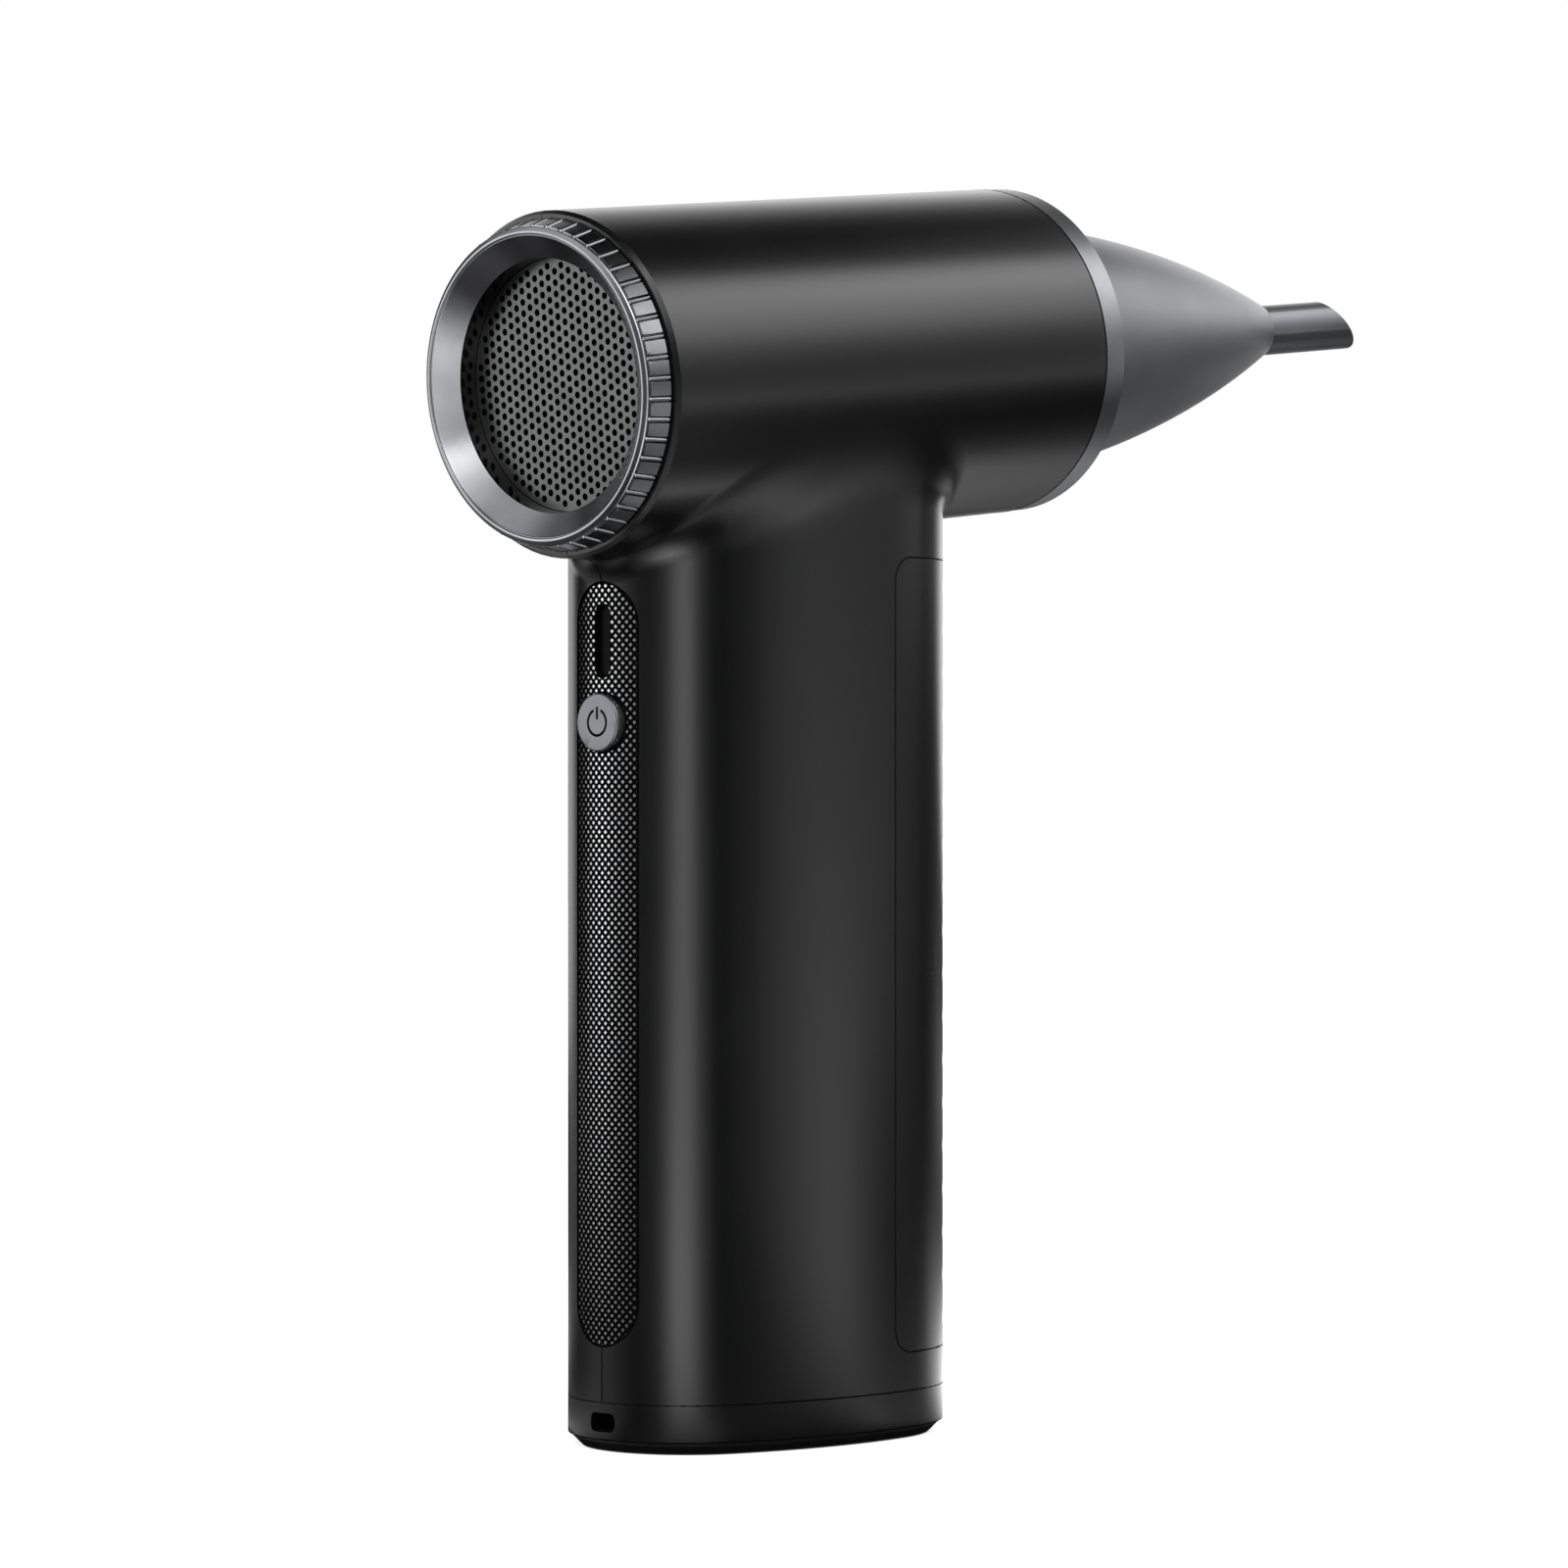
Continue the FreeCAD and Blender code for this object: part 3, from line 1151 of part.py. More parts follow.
def make_retaining_ring():
    """Split spring ring that grips the nozzle's spigot inside the duct."""
    start = snap_ring_start() + FIT_GAP
    inner = SPIGOT_OUT + RUNNING_GAP
    ring = tube(start, start + SNAP_RING_WIDTH, inner, inner + SNAP_RING_THICKNESS)
    half = SNAP_RING_OPENING / 2
    opening = box(start - PAST, start + SNAP_RING_WIDTH + PAST, -half, half, -BARREL_RADIUS, 0)
    write("nozzle_retaining_ring", in_barrel(ring.cut(opening)))


def seal_center():
    """Place along the barrel of the nozzle's seal."""
    return DUCT_END - SEAL_BACK


def make_nozzle_cone():
    """Nozzle: a straight spigot, a shoulder and an outward-curved cone."""
    rear = DUCT_END - SPIGOT_LENGTH
    inner = SPIGOT_OUT - SPIGOT_WALL
    neck = NOZZLE_REACH - NECK_LENGTH
    bore = TIP_RADIUS + PRESS_GAP
    tip_bore = TIP_RADIUS - TIP_WALL
    base = Vector(NOZZLE_START, 0, NOZZLE_BASE_RADIUS)
    skirt = Vector(TRIM_END, 0, NOZZLE_BASE_RADIUS)
    end = Vector(NOZZLE_REACH, 0, NOZZLE_END_RADIUS)
    inside = Vector(NOZZLE_START, 0, inner)
    inside_end = Vector(neck, 0, tip_bore)
    corners = [
        inside,
        Vector(rear, 0, inner),
        Vector(rear, 0, SPIGOT_OUT),
        Vector(NOZZLE_START, 0, SPIGOT_OUT),
        base,
        skirt,
    ]
    tail = [end, Vector(NOZZLE_REACH, 0, bore), Vector(neck, 0, bore), inside_end]
    edges = list(Part.makePolygon(corners).Edges)
    edges.append(bulged_arc(skirt, end, NOZZLE_BULGE))
    edges += Part.makePolygon(tail).Edges
    edges.append(bulged_arc(inside_end, inside, -NOZZLE_INNER_BULGE))
    cone = Part.Face(Part.Wire(edges)).revolve(Vector(0, 0, 0), Vector(1, 0, 0), 360)
    groove_x = seal_center() - SEAL_RADIUS - FIT_GAP
    floor = seal_ring_radius() - SEAL_RADIUS - FIT_GAP / 2
    groove = tube(groove_x, groove_x + 2 * (SEAL_RADIUS + FIT_GAP), floor, DUCT_IN)
    write("nozzle_cone", in_barrel(cone.cut(groove)))


def seal_ring_radius():
    """Radius of the seal's centre line, so that its back just clears the duct."""
    return DUCT_IN - SEAL_GAP - SEAL_RADIUS


def make_nozzle_seal():
    """Rubber ring in the spigot's groove."""
    seal = Part.makeTorus(seal_ring_radius(), SEAL_RADIUS, Vector(seal_center(), 0, 0),
                          Vector(1, 0, 0))
    write("nozzle_seal", in_barrel(seal))


def make_nozzle_tip():
    """Thin outlet tube, cut on a slant so that its lower side is longer."""
    neck = NOZZLE_REACH - NECK_LENGTH
    long_end = TIP_TOP_REACH + TIP_SLANT
    pipe = tube(neck, long_end, TIP_RADIUS - TIP_WALL, TIP_RADIUS)
    slant = TIP_SLANT / (2 * TIP_RADIUS)
    reach = 2 * TIP_RADIUS
    middle = TIP_TOP_REACH + TIP_SLANT / 2
    corners = [
        (middle - slant * reach, reach),
        (middle + slant * reach, -reach),
        (long_end + reach, -reach),
        (long_end + reach, reach),
    ]
    outline = [Vector(x, -reach, z) for x, z in corners + corners[:1]]
    cutter = Part.Face(Part.makePolygon(outline)).extrude(Vector(0, 2 * reach, 0))
    write("nozzle_tip", in_barrel(pipe.cut(cutter)))


def bent_lead(points, radius):
    """Round lead along straight runs joined by tangent arcs."""
    edges = []
    start = points[0]
    for before, corner, after in zip(points, points[1:], points[2:]):
        back = before.sub(corner)
        ahead = after.sub(corner)
        half_turn = (math.pi - back.getAngle(ahead)) / 2
        run = BEND_SHARE * min(back.Length, ahead.Length)
        back.normalize()
        ahead.normalize()
        enter = corner.add(Vector(back).multiply(run))
        leave = corner.add(Vector(ahead).multiply(run))
        inward = back.add(ahead).normalize()
        bend = run / math.tan(half_turn)
        center = corner.add(Vector(inward).multiply(math.hypot(run, bend)))
        middle = center.sub(Vector(inward).multiply(bend))
        edges.append(Part.makeLine(start, enter))
        edges.append(Part.Arc(enter, middle, leave).toShape())
        start = leave
    edges.append(Part.makeLine(start, points[-1]))
    path = Part.Wire(edges)
    first = points[1].sub(points[0])
    section = Part.Wire(Part.makeCircle(radius, points[0], first))
    return path.makePipeShell([section], True, True)


def barrel_point(x, y, z):
    """A point given along the barrel's axis, in the part's own frame."""
    return BARREL_PLACE.multVec(Vector(x, y, z))


def make_motor_leads():
    """Three leads from the motor connector up through the lead hole to the fan shroud."""
    start_x = CONTROL_BOARD_X + CONTROL_BOARD_THICKNESS + CONNECTOR_SIZE
    start_z = motor_connector_z()
    hole_x = lead_hole_x()
    end = barrel_point(SHROUD_START + SHROUD_LENGTH / 2, 0, -SHROUD_OUT - MOVING_GAP)
    bend_x = (start_x + hole_x) / 2
    leads = []
    for k in (-1, 0, 1):
        y = k * MOTOR_LEAD_SPACING
        points = [
            Vector(start_x, y, start_z),
            Vector(bend_x, y, start_z),
            Vector(hole_x, y, start_z + (end.z - start_z) / 2),
            Vector(hole_x + k, y, end.z),
        ]
        leads.append(bent_lead(points, MOTOR_LEAD_RADIUS))
    write("motor_leads", group(leads))


def make_battery_leads():
    """Two leads from the upper cell holder to the control board."""
    board_x = CONTROL_BOARD_X + CONTROL_BOARD_THICKNESS
    top = CELL_END + STRAP_THICKNESS + HOLDER_FLOOR
    y = CELL_RADIUS
    end_z = CONTROL_BOARD_BOTTOM + TRANSISTOR_SIZE / 2 + BATTERY_LEAD_RADIUS
    leads = []
    for side in (1, -1):
        points = [
            Vector(CELLS_X, side * y, top),
            Vector(CELLS_X, side * y, end_z - 2 * BATTERY_LEAD_RADIUS),
            Vector((CELLS_X + board_x) / 2, side * y, end_z),
            Vector(board_x, side * y, end_z),
        ]
        leads.append(bent_lead(points, BATTERY_LEAD_RADIUS))
    write("battery_leads", group(leads))


def make_screws():
    """Case screws, set crosswise, and base screws, set upright."""
    case = []
    for z in CASE_SCREW_HEIGHTS:
        seat = -CASE_SCREW_GRIP
        tip = seat + CASE_SCREW_LENGTH - SCREW_HEAD_HEIGHT
        head = crosswise(seat - SCREW_HEAD_HEIGHT, seat, SCREW_HEAD_RADIUS, CASE_SCREW_X, z)
        shank = crosswise(seat, tip, SCREW_RADIUS - PRESS_GAP, CASE_SCREW_X, z)
        case.append(head.fuse(shank))
    write("case_screws", group(case))
    base = []
    for x, y in half_turn_pair(BASE_SCREW_PLACES):
        seat = base_head_top()
        head = upright(seat - SCREW_HEAD_HEIGHT, seat, SCREW_HEAD_RADIUS, x, y)
        shank = upright(seat, seat + BASE_SCREW_LENGTH, SCREW_RADIUS - PRESS_GAP, x, y)
        base.append(head.fuse(shank))
    write("base_screws", group(base))


def main():
    """Makes every sub-part and writes it to the parts folder."""
    os.makedirs("parts", exist_ok=True)
    make_case()
    make_base_cap()
    make_foot_pad()
    make_charging()
    make_grip_insert()
    make_rear_strip()
    make_indicator()
    make_power_button()
    make_control_board()
    make_battery()
    make_speed_ring()
    make_ring_sensor()
    make_inlet_frame()
    make_inlet_mesh()
    make_impeller()
    make_fan_shroud()
    make_motor()
    make_fan_mounts()
    make_front_trim()
    make_outlet_duct()
    make_retaining_ring()
    make_nozzle_cone()
    make_nozzle_seal()
    make_nozzle_tip()
    make_motor_leads()
    make_battery_leads()
    make_screws()


main()
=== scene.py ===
import math

import bpy
import numpy as np
from mathutils import Matrix, Vector


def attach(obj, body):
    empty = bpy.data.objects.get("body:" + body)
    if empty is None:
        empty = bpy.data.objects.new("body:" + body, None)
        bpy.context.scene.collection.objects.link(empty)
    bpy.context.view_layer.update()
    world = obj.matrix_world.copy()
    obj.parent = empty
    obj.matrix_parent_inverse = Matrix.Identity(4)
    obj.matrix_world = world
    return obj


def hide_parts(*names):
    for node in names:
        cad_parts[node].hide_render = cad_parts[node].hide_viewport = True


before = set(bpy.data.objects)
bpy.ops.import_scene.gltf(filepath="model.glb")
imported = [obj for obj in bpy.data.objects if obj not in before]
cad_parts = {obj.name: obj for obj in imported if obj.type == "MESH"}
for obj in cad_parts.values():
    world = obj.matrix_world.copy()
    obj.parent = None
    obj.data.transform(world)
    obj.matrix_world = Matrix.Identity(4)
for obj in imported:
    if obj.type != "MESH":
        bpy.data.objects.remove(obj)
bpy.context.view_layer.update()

# Sizes are in millimetres and angles in degrees, where a heading says nothing else
MM = 0.001

# Barrel: middle of its rear end, nose-up tilt, radius and length
BARREL_REAR = (-45.0, 0.0, 172.5)
BARREL_TILT = 6.0
BARREL_RADIUS = 28.0
BARREL_LENGTH = 102.7

# Handle: its rear face, the radius of its rear nose, and the middle of its front nose
HANDLE_REAR_X = -35.2
REAR_NOSE_RADIUS = 19.7
NOSE_X = 12.5

# Speed ring: radii, and places along the barrel's axis from its rear end
INLET_RADIUS = 20.5
FUNNEL_END = -2.3
FUNNEL_MOUTH = 24.2
RING_REACH = 5.5
RING_FRONT = -1.1
SHOULDER_END = -4.95
SHOULDER_RADIUS = 25.6
KNURL_RADIUS = 26.75
SLEEVE_OUT = 24.6
SLEEVE_IN = 22.5
SLEEVE_END = 6.3

# Rim of the ring, from the funnel's mouth outwards: a thin lip, a groove, a flat face, an edge.
# Sinks and the groove's depth are measured from the face, and the groove's outer and the
# face's inner end from the lip. Insets are measured from the funnel's mouth or the shoulder.
MOUTH_SINK = 0.14
LIP_INSET = 0.08
LIP_SINK = 0.02
LIP_HALF_WIDTH = 0.06
GROOVE_DEPTH = 0.3
GROOVE_OUT = 0.2
FACE_IN = 0.32
FACE_INSET = 0.75
EDGE_SINK = 0.3
EDGE_INSET = 0.12
RIM_ROUNDING = 0.2
ROUNDING_STEPS = 4
ROUNDING_SHARE = 0.45

# Knurled band: narrow ribs with a flat pad between each two, on a sunk floor. A lead is how far
# a slope starts behind the band, a rise, fall or slope is its length, and the point of a rib
# is how far its sides start after its middle, for each millimetre across.
RIB_COUNT = 50
RIB_HALF_WIDTH = 0.42
RIB_HEIGHT = 0.64
RIB_LEAD = 0.1
RIB_POINT = 0.5
RIB_RISE = 0.3
RIB_FALL = 0.12
PAD_EDGE = 0.49
PAD_START = 0.35
PAD_SLOPE = 0.07
KNURL_DEPTH = 0.45
KNURL_LEAD = 0.06
KNURL_RISE = 0.08
SECTOR = 2 * math.pi / RIB_COUNT

# Rows of points that draw the knurl. Across: distances from a rib's middle, at a radius.
# Along: a close run and a wide run from the band's rear end, and rows before its front end.
ROWS_ACROSS = (0.0, 0.12, 0.22, 0.31, 0.37, 0.4, 0.42, 0.46, 0.49, 0.525, 0.56, 0.75, 1.1)
ROWS_RADIUS = 26.0
CLOSE_ROWS_START = -0.1
CLOSE_ROWS_END = 0.7
WIDE_ROWS_START = 0.8
FRONT_ROWS = (0.15, 0.08, 0.03, 0.0)

# Strip on the handle's rear face, with its window and the button
STRIP_WIDTH = 14.2
STRIP_BOTTOM = 17.2
STRIP_TOP = 141.1
STRIP_SINK = 0.3
STRIP_MARGIN = 0.3
WINDOW_WIDTH = 2.9
WINDOW_BOTTOM = 125.7
WINDOW_TOP = 137.4
BUTTON_RADIUS = 4.75
BUTTON_Z = 118.3
BUTTON_PROUD = 1.1

# Power sign: its ring, the width of its line, and the angle that the ring leaves open on top
SIGN_RADIUS = 2.1
SIGN_LINE = 0.46
SIGN_OPENING = 44.0

# Diamonds of the strip: their pitch, the share of it that foot and flat top take, their
# height, and how far one may be pushed aside by an edge before it is left out
DIAMOND_WIDTH = 1.42
DIAMOND_HEIGHT = 1.476
DIAMOND_FOOT = 0.72
DIAMOND_TOP = 0.46
DIAMOND_PROUD = 0.2
DIAMOND_SHIFT = DIAMOND_WIDTH / 3

# Seams: width of the dark line of painted shade laid over each gap, its lift off the surface, and
# where the lines run.
# The low one keeps a gap to the base seam and one to the strip.
SEAM_WIDTH = 0.28
SEAM_LIFT = 0.012
BASE_SEAM_TOP = 8.25
BASE_SEAM_HALF = 0.075
BASE_SEAM_STEP = 4
LOW_SEAM_GAPS = (0.1, 0.2)
NECK_SEAM_X = -40.5
NECK_SEAM_TURNS = (1.5, 88.0)
TOP_SEAM_X = (-44.5, 57.0)
UNDER_SEAM_X = (37.0, 57.0)
# Ring of painted shade in the gap before the trim: its reach behind and ahead of the barrel's front
# edge, its depth and its step
TRIM_LINE_BEHIND = 0.1
TRIM_LINE_AHEAD = 0.22
TRIM_LINE_DEPTH = 0.3
TRIM_LINE_STEP = 3

# Outline of the grip insert
GRIP_EDGE_X = 9.5
GRIP_BOTTOM = 14.5
GRIP_TOP = 145.8
GRIP_CORNER = 4.0
GRIP_TURN = 87.0

# Places outside the blower where the rays that find the seams start
BEHIND_X = -60.0
ABOVE_Z = 230.0
BELOW_Z = 60.0
ROUND_BASE = 60.0
ROUND_GRIP = 50.0

# Angles above which an edge stays sharp, and the distance below which points are one
SHARP_EDGE = 28.0
SHARP_EDGE_GRIP = 60.0
SHARP_EDGE_RING = 35.0
WELD_DISTANCE = 0.002

# Patterns of the finishes: patches of shade and gloss, tool lines and blasted grain.
# The real grains are finer; each is drawn as coarse as it needs to show.
SHADE_PATCH = 12.0
GLOSS_PATCH = 25.0
SHADE_EDGES = (0.3, 0.7)
METAL_PATCH = 6.0
SHEET_PATCH = 4.0
TOOL_LINE = 0.12
TOOL_LINE_DEPTH = 0.004
TOOL_LINE_GLOSS = 0.05
BLAST_GRAIN = 0.12
BLAST_DEPTH = 0.003
# Painted shade in the mesh's holes: below the first facing to the barrel's axis a surface takes the
# dark colour, above the second the sheet's grey
HOLE_SHADE_FACING = (0.45, 0.6)

# Camera at the photograph's place and angle, in metres
CAMERA_PLACE = (-0.6895, -0.6735, 0.1093)
CAMERA_BACK = (-0.719, -0.695, 0.001)
CAMERA_RIGHT = (0.695, -0.719, 0.0)
CAMERA_LENS = 133.05
CAMERA_SENSOR = 36.0
CAMERA_NEAR = 0.01

# Studio, in metres: height of its middle, half of the floor's width, and the black room.
# The glow and the fill are light levels of the floor and of the white surroundings.
STUDIO_MIDDLE = 0.12
FLOOR_HALF = 3.0
FLOOR_GLOW = 0.75
WORLD_FILL = 0.5
ROOM_RADIUS = 2.6
ROOM_RISE = (-3.0, 90.0)
ROOM_FLOOR_RADII = (0.001, 0.9, ROOM_RADIUS)
ROOM_FLOOR_LIFT = 0.2 * MM
CARD_FLOOR_LIFT = 0.4 * MM

# Lamps: distance and size in metres, then azimuth, elevation and power in watts
LAMP_DISTANCE = 1.3
LAMP_SIZE = 0.8
LAMPS = {"camera_lamp": (-150, 35, 5.5), "right_lamp": (-70, 50, 4.0)}

# Studio cards are seen in reflections only. Their distances are in metres, and each of their
# corners has a light level.

# Key card round the barrel: a level for each angle off the barrel's line, at each roll
KEY_RADIUS = 1.2
KEY_OFF_AXIS = (2, 10, 20, 48, 64, 84)
KEY_LEVELS = {
    -10: (0.3, 0.1, 0.0, 0.6, 0.9, 0.0),
    5: (0.3, 0.1, 0.0, 0.3, 0.3, 0.15),
    20: (0.3, 0.2, 0.7, 0.65, 1.4, 2.6),
    32: (0.3, 0.4, 1.6, 2.15, 2.6, 3.4),
    44: (0.3, 0.6, 2.7, 2.75, 2.8, 3.0),
    54: (0.3, 0.8, 3.85, 3.8, 2.6, 1.2),
    63: (0.3, 0.8, 4.25, 3.1, 1.8, 0.7),
    71: (0.3, 0.7, 3.3, 0.0, 0.0, 0.1),
    78: (0.3, 0.6, 2.8, 0.0, 0.0, 0.0),
    95: (0.3, 0.5, 1.05, 0.0, 0.0, 0.0),
    113: (0.3, 0.5, 1.75, 0.05, 0.0, 0.0),
    131: (0.3, 0.6, 3.3, 0.6, 0.5, 0.3),
    149: (0.3, 0.7, 2.1, 1.5, 0.6, 0.2),
    167: (0.3, 1.2, 2.2, 1.5, 0.8, 1.2),
    190: (0.3, 1.2, 2.0, 0.5, 0.7, 1.4)}

# Small card round the nozzle's tip: one level at each roll
TIP_MIDDLE = (0.135, 0.0, 0.192)
TIP_RADIUS = 0.3
TIP_OFF_AXIS = (37, 51)
TIP_LEVELS = {-12: 0.7, 8: 0.8, 26: 1.3, 44: 2.3, 62: 3.2, 80: 2.6, 85: 0.0}

# Wall cards: at each azimuth the level of the wall, and of the card that slopes up from it
WALL_RADIUS = 1.3
WALL_RISE = (-5.0, 25.0, 60.0)
CAMERA_SIDE_LEVELS = {
    -180: (0.15, 0.9), -165: (0.1, 1.8), -153: (0.0, 4.4), -145: (1.9, 6.0), -137: (3.3, 5.5),
    -129: (1.3, 3.2), -121: (0.0, 1.2), -108: (0.0, 0.5), -96: (0.0, 0.3)}
LEFT_SIDE_LEVELS = {
    96: (0.0, 0.1), 110: (0.0, 0.2), 120: (1.5, 0.6), 134: (2.8, 1.0), 145: (1.9, 1.0),
    155: (0.8, 1.0), 180: (0.1, 1.0)}

# Floor card: a level for each radius, at each azimuth
FLOOR_RADII = (0.04, 0.09, 0.16, 0.24, 0.36, 0.55, 0.9, 1.6)
FLOOR_LEVELS = {
    -180: (0.0, 0.0, 0.0, 0.0, 0.0, 0.0, 0.0, 0.0),
    -162: (0.2, 0.2, 0.3, 0.4, 0.5, 0.4, 0.3, 0.2),
    -148: (0.3, 1.4, 3.0, 4.4, 3.2, 2.0, 1.4, 1.4),
    -137: (0.5, 1.2, 2.6, 3.2, 2.3, 1.8, 1.8, 2.2),
    -126: (0.2, 0.3, 0.6, 0.7, 0.8, 0.9, 0.9, 0.9),
    -112: (0.1, 0.1, 0.0, 0.0, 0.0, 0.0, 0.0, 0.0),
    -85: (0.1, 0.1, 0.0, 0.0, 0.2, 0.3, 0.3, 0.3),
    -72: (0.3, 0.3, 0.4, 0.8, 1.0, 1.0, 1.0, 1.1),
    -60: (0.8, 0.8, 1.0, 1.6, 1.7, 1.5, 2.0, 2.6),
    -51: (0.4, 0.4, 0.5, 0.7, 0.4, 0.2, 1.2, 2.2),
    -43: (0.4, 0.3, 0.2, 0.1, 0.0, 0.0, 0.3, 1.6),
    -34: (0.4, 0.3, 0.2, 0.0, 0.0, 0.0, 0.1, 1.2),
    -22: (0.8, 0.9, 0.8, 0.3, 0.1, 0.0, 0.0, 0.1),
    -10: (1.2, 1.8, 1.9, 1.1, 0.3, 0.0, 0.1, 0.2),
    10: (1.4, 2.6, 2.3, 0.9, 0.2, 0.0, 0.5, 0.9),
    28: (0.8, 1.6, 1.6, 0.9, 0.2, 0.2, 0.3, 0.2),
    40: (0.4, 0.8, 1.0, 0.6, 0.1, 0.0, 0.0, 0.0),
    60: (0.1, 0.3, 0.6, 0.5, 0.1, 0.0, 0.0, 0.0),
    100: (0.2, 0.1, 0.0, 0.1, 0.2, 0.3, 0.4, 0.5),
    140: (0.8, 0.4, 0.1, 0.1, 0.3, 0.4, 0.7, 1.0),
    180: (0.0, 0.0, 0.0, 0.0, 0.0, 0.0, 0.0, 0.0)}

# Turns a place measured along the barrel from its rear end into the frame
TO_BARREL = Matrix.Translation([v * MM for v in BARREL_REAR]) @ Matrix.Rotation(
    math.radians(-BARREL_TILT), 4, "Y")


def linear(code):
    """Linear colour from an sRGB hex value."""
    values = [int(code[i:i + 2], 16) / 255 for i in (1, 3, 5)]
    return (*[v / 12.92 if v <= 0.04045 else ((v + 0.055) / 1.055) ** 2.4 for v in values], 1.0)


def add(tree, kind, inputs=None, **settings):
    """Adds one node with its settings, and sets or links its inputs."""
    node = tree.nodes.new(kind)
    for key, value in settings.items():
        setattr(node, key, value)
    for name, value in (inputs or {}).items():
        if isinstance(value, bpy.types.NodeSocket):
            tree.links.new(value, node.inputs[name])
        else:
            node.inputs[name].default_value = value
    return node


def blank_material(name):
    """A new material with an empty node tree."""
    material = bpy.data.materials.new(name)
    material.use_nodes = True
    material.node_tree.nodes.clear()
    return material, material.node_tree


def finish_material(tree, shader):
    """Joins a shader to the material's output."""
    add(tree, "ShaderNodeOutputMaterial", {"Surface": shader.outputs[0]})


def mottled(tree, place, dark, light, patch):
    """Colour that wavers softly between two shades, in patches of a size."""
    noise = add(tree, "ShaderNodeTexNoise",
                {"Vector": place, "Scale": 1 / (patch * MM), "Detail": 3.0})
    ramp = add(tree, "ShaderNodeValToRGB", {"Fac": noise.outputs["Fac"]})
    for element, shade, edge in zip(ramp.color_ramp.elements, (dark, light), SHADE_EDGES):
        element.color, element.position = linear(shade), edge
    return ramp.outputs["Color"]


def grained(name, dark, light, roughness, grain, depth, metallic=0.0, shine=0.5, spread=0.04):
    """Material with a fine even grain, a soft change of shade and of gloss."""
    material, tree = blank_material(name)
    place = add(tree, "ShaderNodeTexCoord").outputs["Object"]
    color = mottled(tree, place, dark, light, SHADE_PATCH)
    relief = add(tree, "ShaderNodeTexNoise",
                 {"Vector": place, "Scale": 1 / (grain * MM), "Detail": 2.0})
    patches = add(tree, "ShaderNodeTexNoise",
                  {"Vector": place, "Scale": 1 / (GLOSS_PATCH * MM), "Detail": 4.0})
    gloss = add(tree, "ShaderNodeMapRange",
                {"Value": patches.outputs["Fac"], "To Min": roughness - spread,
                 "To Max": roughness + spread})
    bump = add(tree, "ShaderNodeBump",
               {"Height": relief.outputs["Fac"], "Distance": depth * MM, "Strength": 1.0})
    shader = add(tree, "ShaderNodeBsdfPrincipled", {
        "Base Color": color, "Roughness": gloss.outputs["Result"], "Metallic": metallic,
        "Specular IOR Level": shine, "Normal": bump.outputs["Normal"]})
    finish_material(tree, shader)
    return material


def turned_metal(name, dark, light, roughness):
    """Metal turned on a lathe: fine rings round the barrel's axis."""
    material, tree = blank_material(name)
    place = add(tree, "ShaderNodeTexCoord").outputs["Object"]
    local = add(tree, "ShaderNodeMapping",
                {"Vector": place, "Location": [v * MM for v in BARREL_REAR],
                 "Rotation": (0.0, math.radians(-BARREL_TILT), 0.0)}, vector_type="TEXTURE")
    split = add(tree, "ShaderNodeSeparateXYZ", {"Vector": local.outputs["Vector"]})
    across = add(tree, "ShaderNodeCombineXYZ",
                 {"X": split.outputs["Y"], "Y": split.outputs["Z"], "Z": 0.0})
    radius = add(tree, "ShaderNodeVectorMath", {0: across.outputs[0]}, operation="LENGTH")
    rings = add(tree, "ShaderNodeCombineXYZ",
                {"X": radius.outputs["Value"], "Y": split.outputs["X"], "Z": 0.0})
    lines = add(tree, "ShaderNodeTexNoise",
                {"Vector": rings.outputs[0], "Scale": 1 / (TOOL_LINE * MM), "Detail": 2.0})
    color = mottled(tree, place, dark, light, METAL_PATCH)
    gloss = add(tree, "ShaderNodeMapRange",
                {"Value": lines.outputs["Fac"], "To Min": roughness - TOOL_LINE_GLOSS,
                 "To Max": roughness + TOOL_LINE_GLOSS})
    bump = add(tree, "ShaderNodeBump",
               {"Height": lines.outputs["Fac"], "Distance": TOOL_LINE_DEPTH * MM,
                "Strength": 1.0})
    shader = add(tree, "ShaderNodeBsdfPrincipled", {
        "Base Color": color, "Roughness": gloss.outputs["Result"], "Metallic": 1.0,
        "Normal": bump.outputs["Normal"]})
    finish_material(tree, shader)
    return material


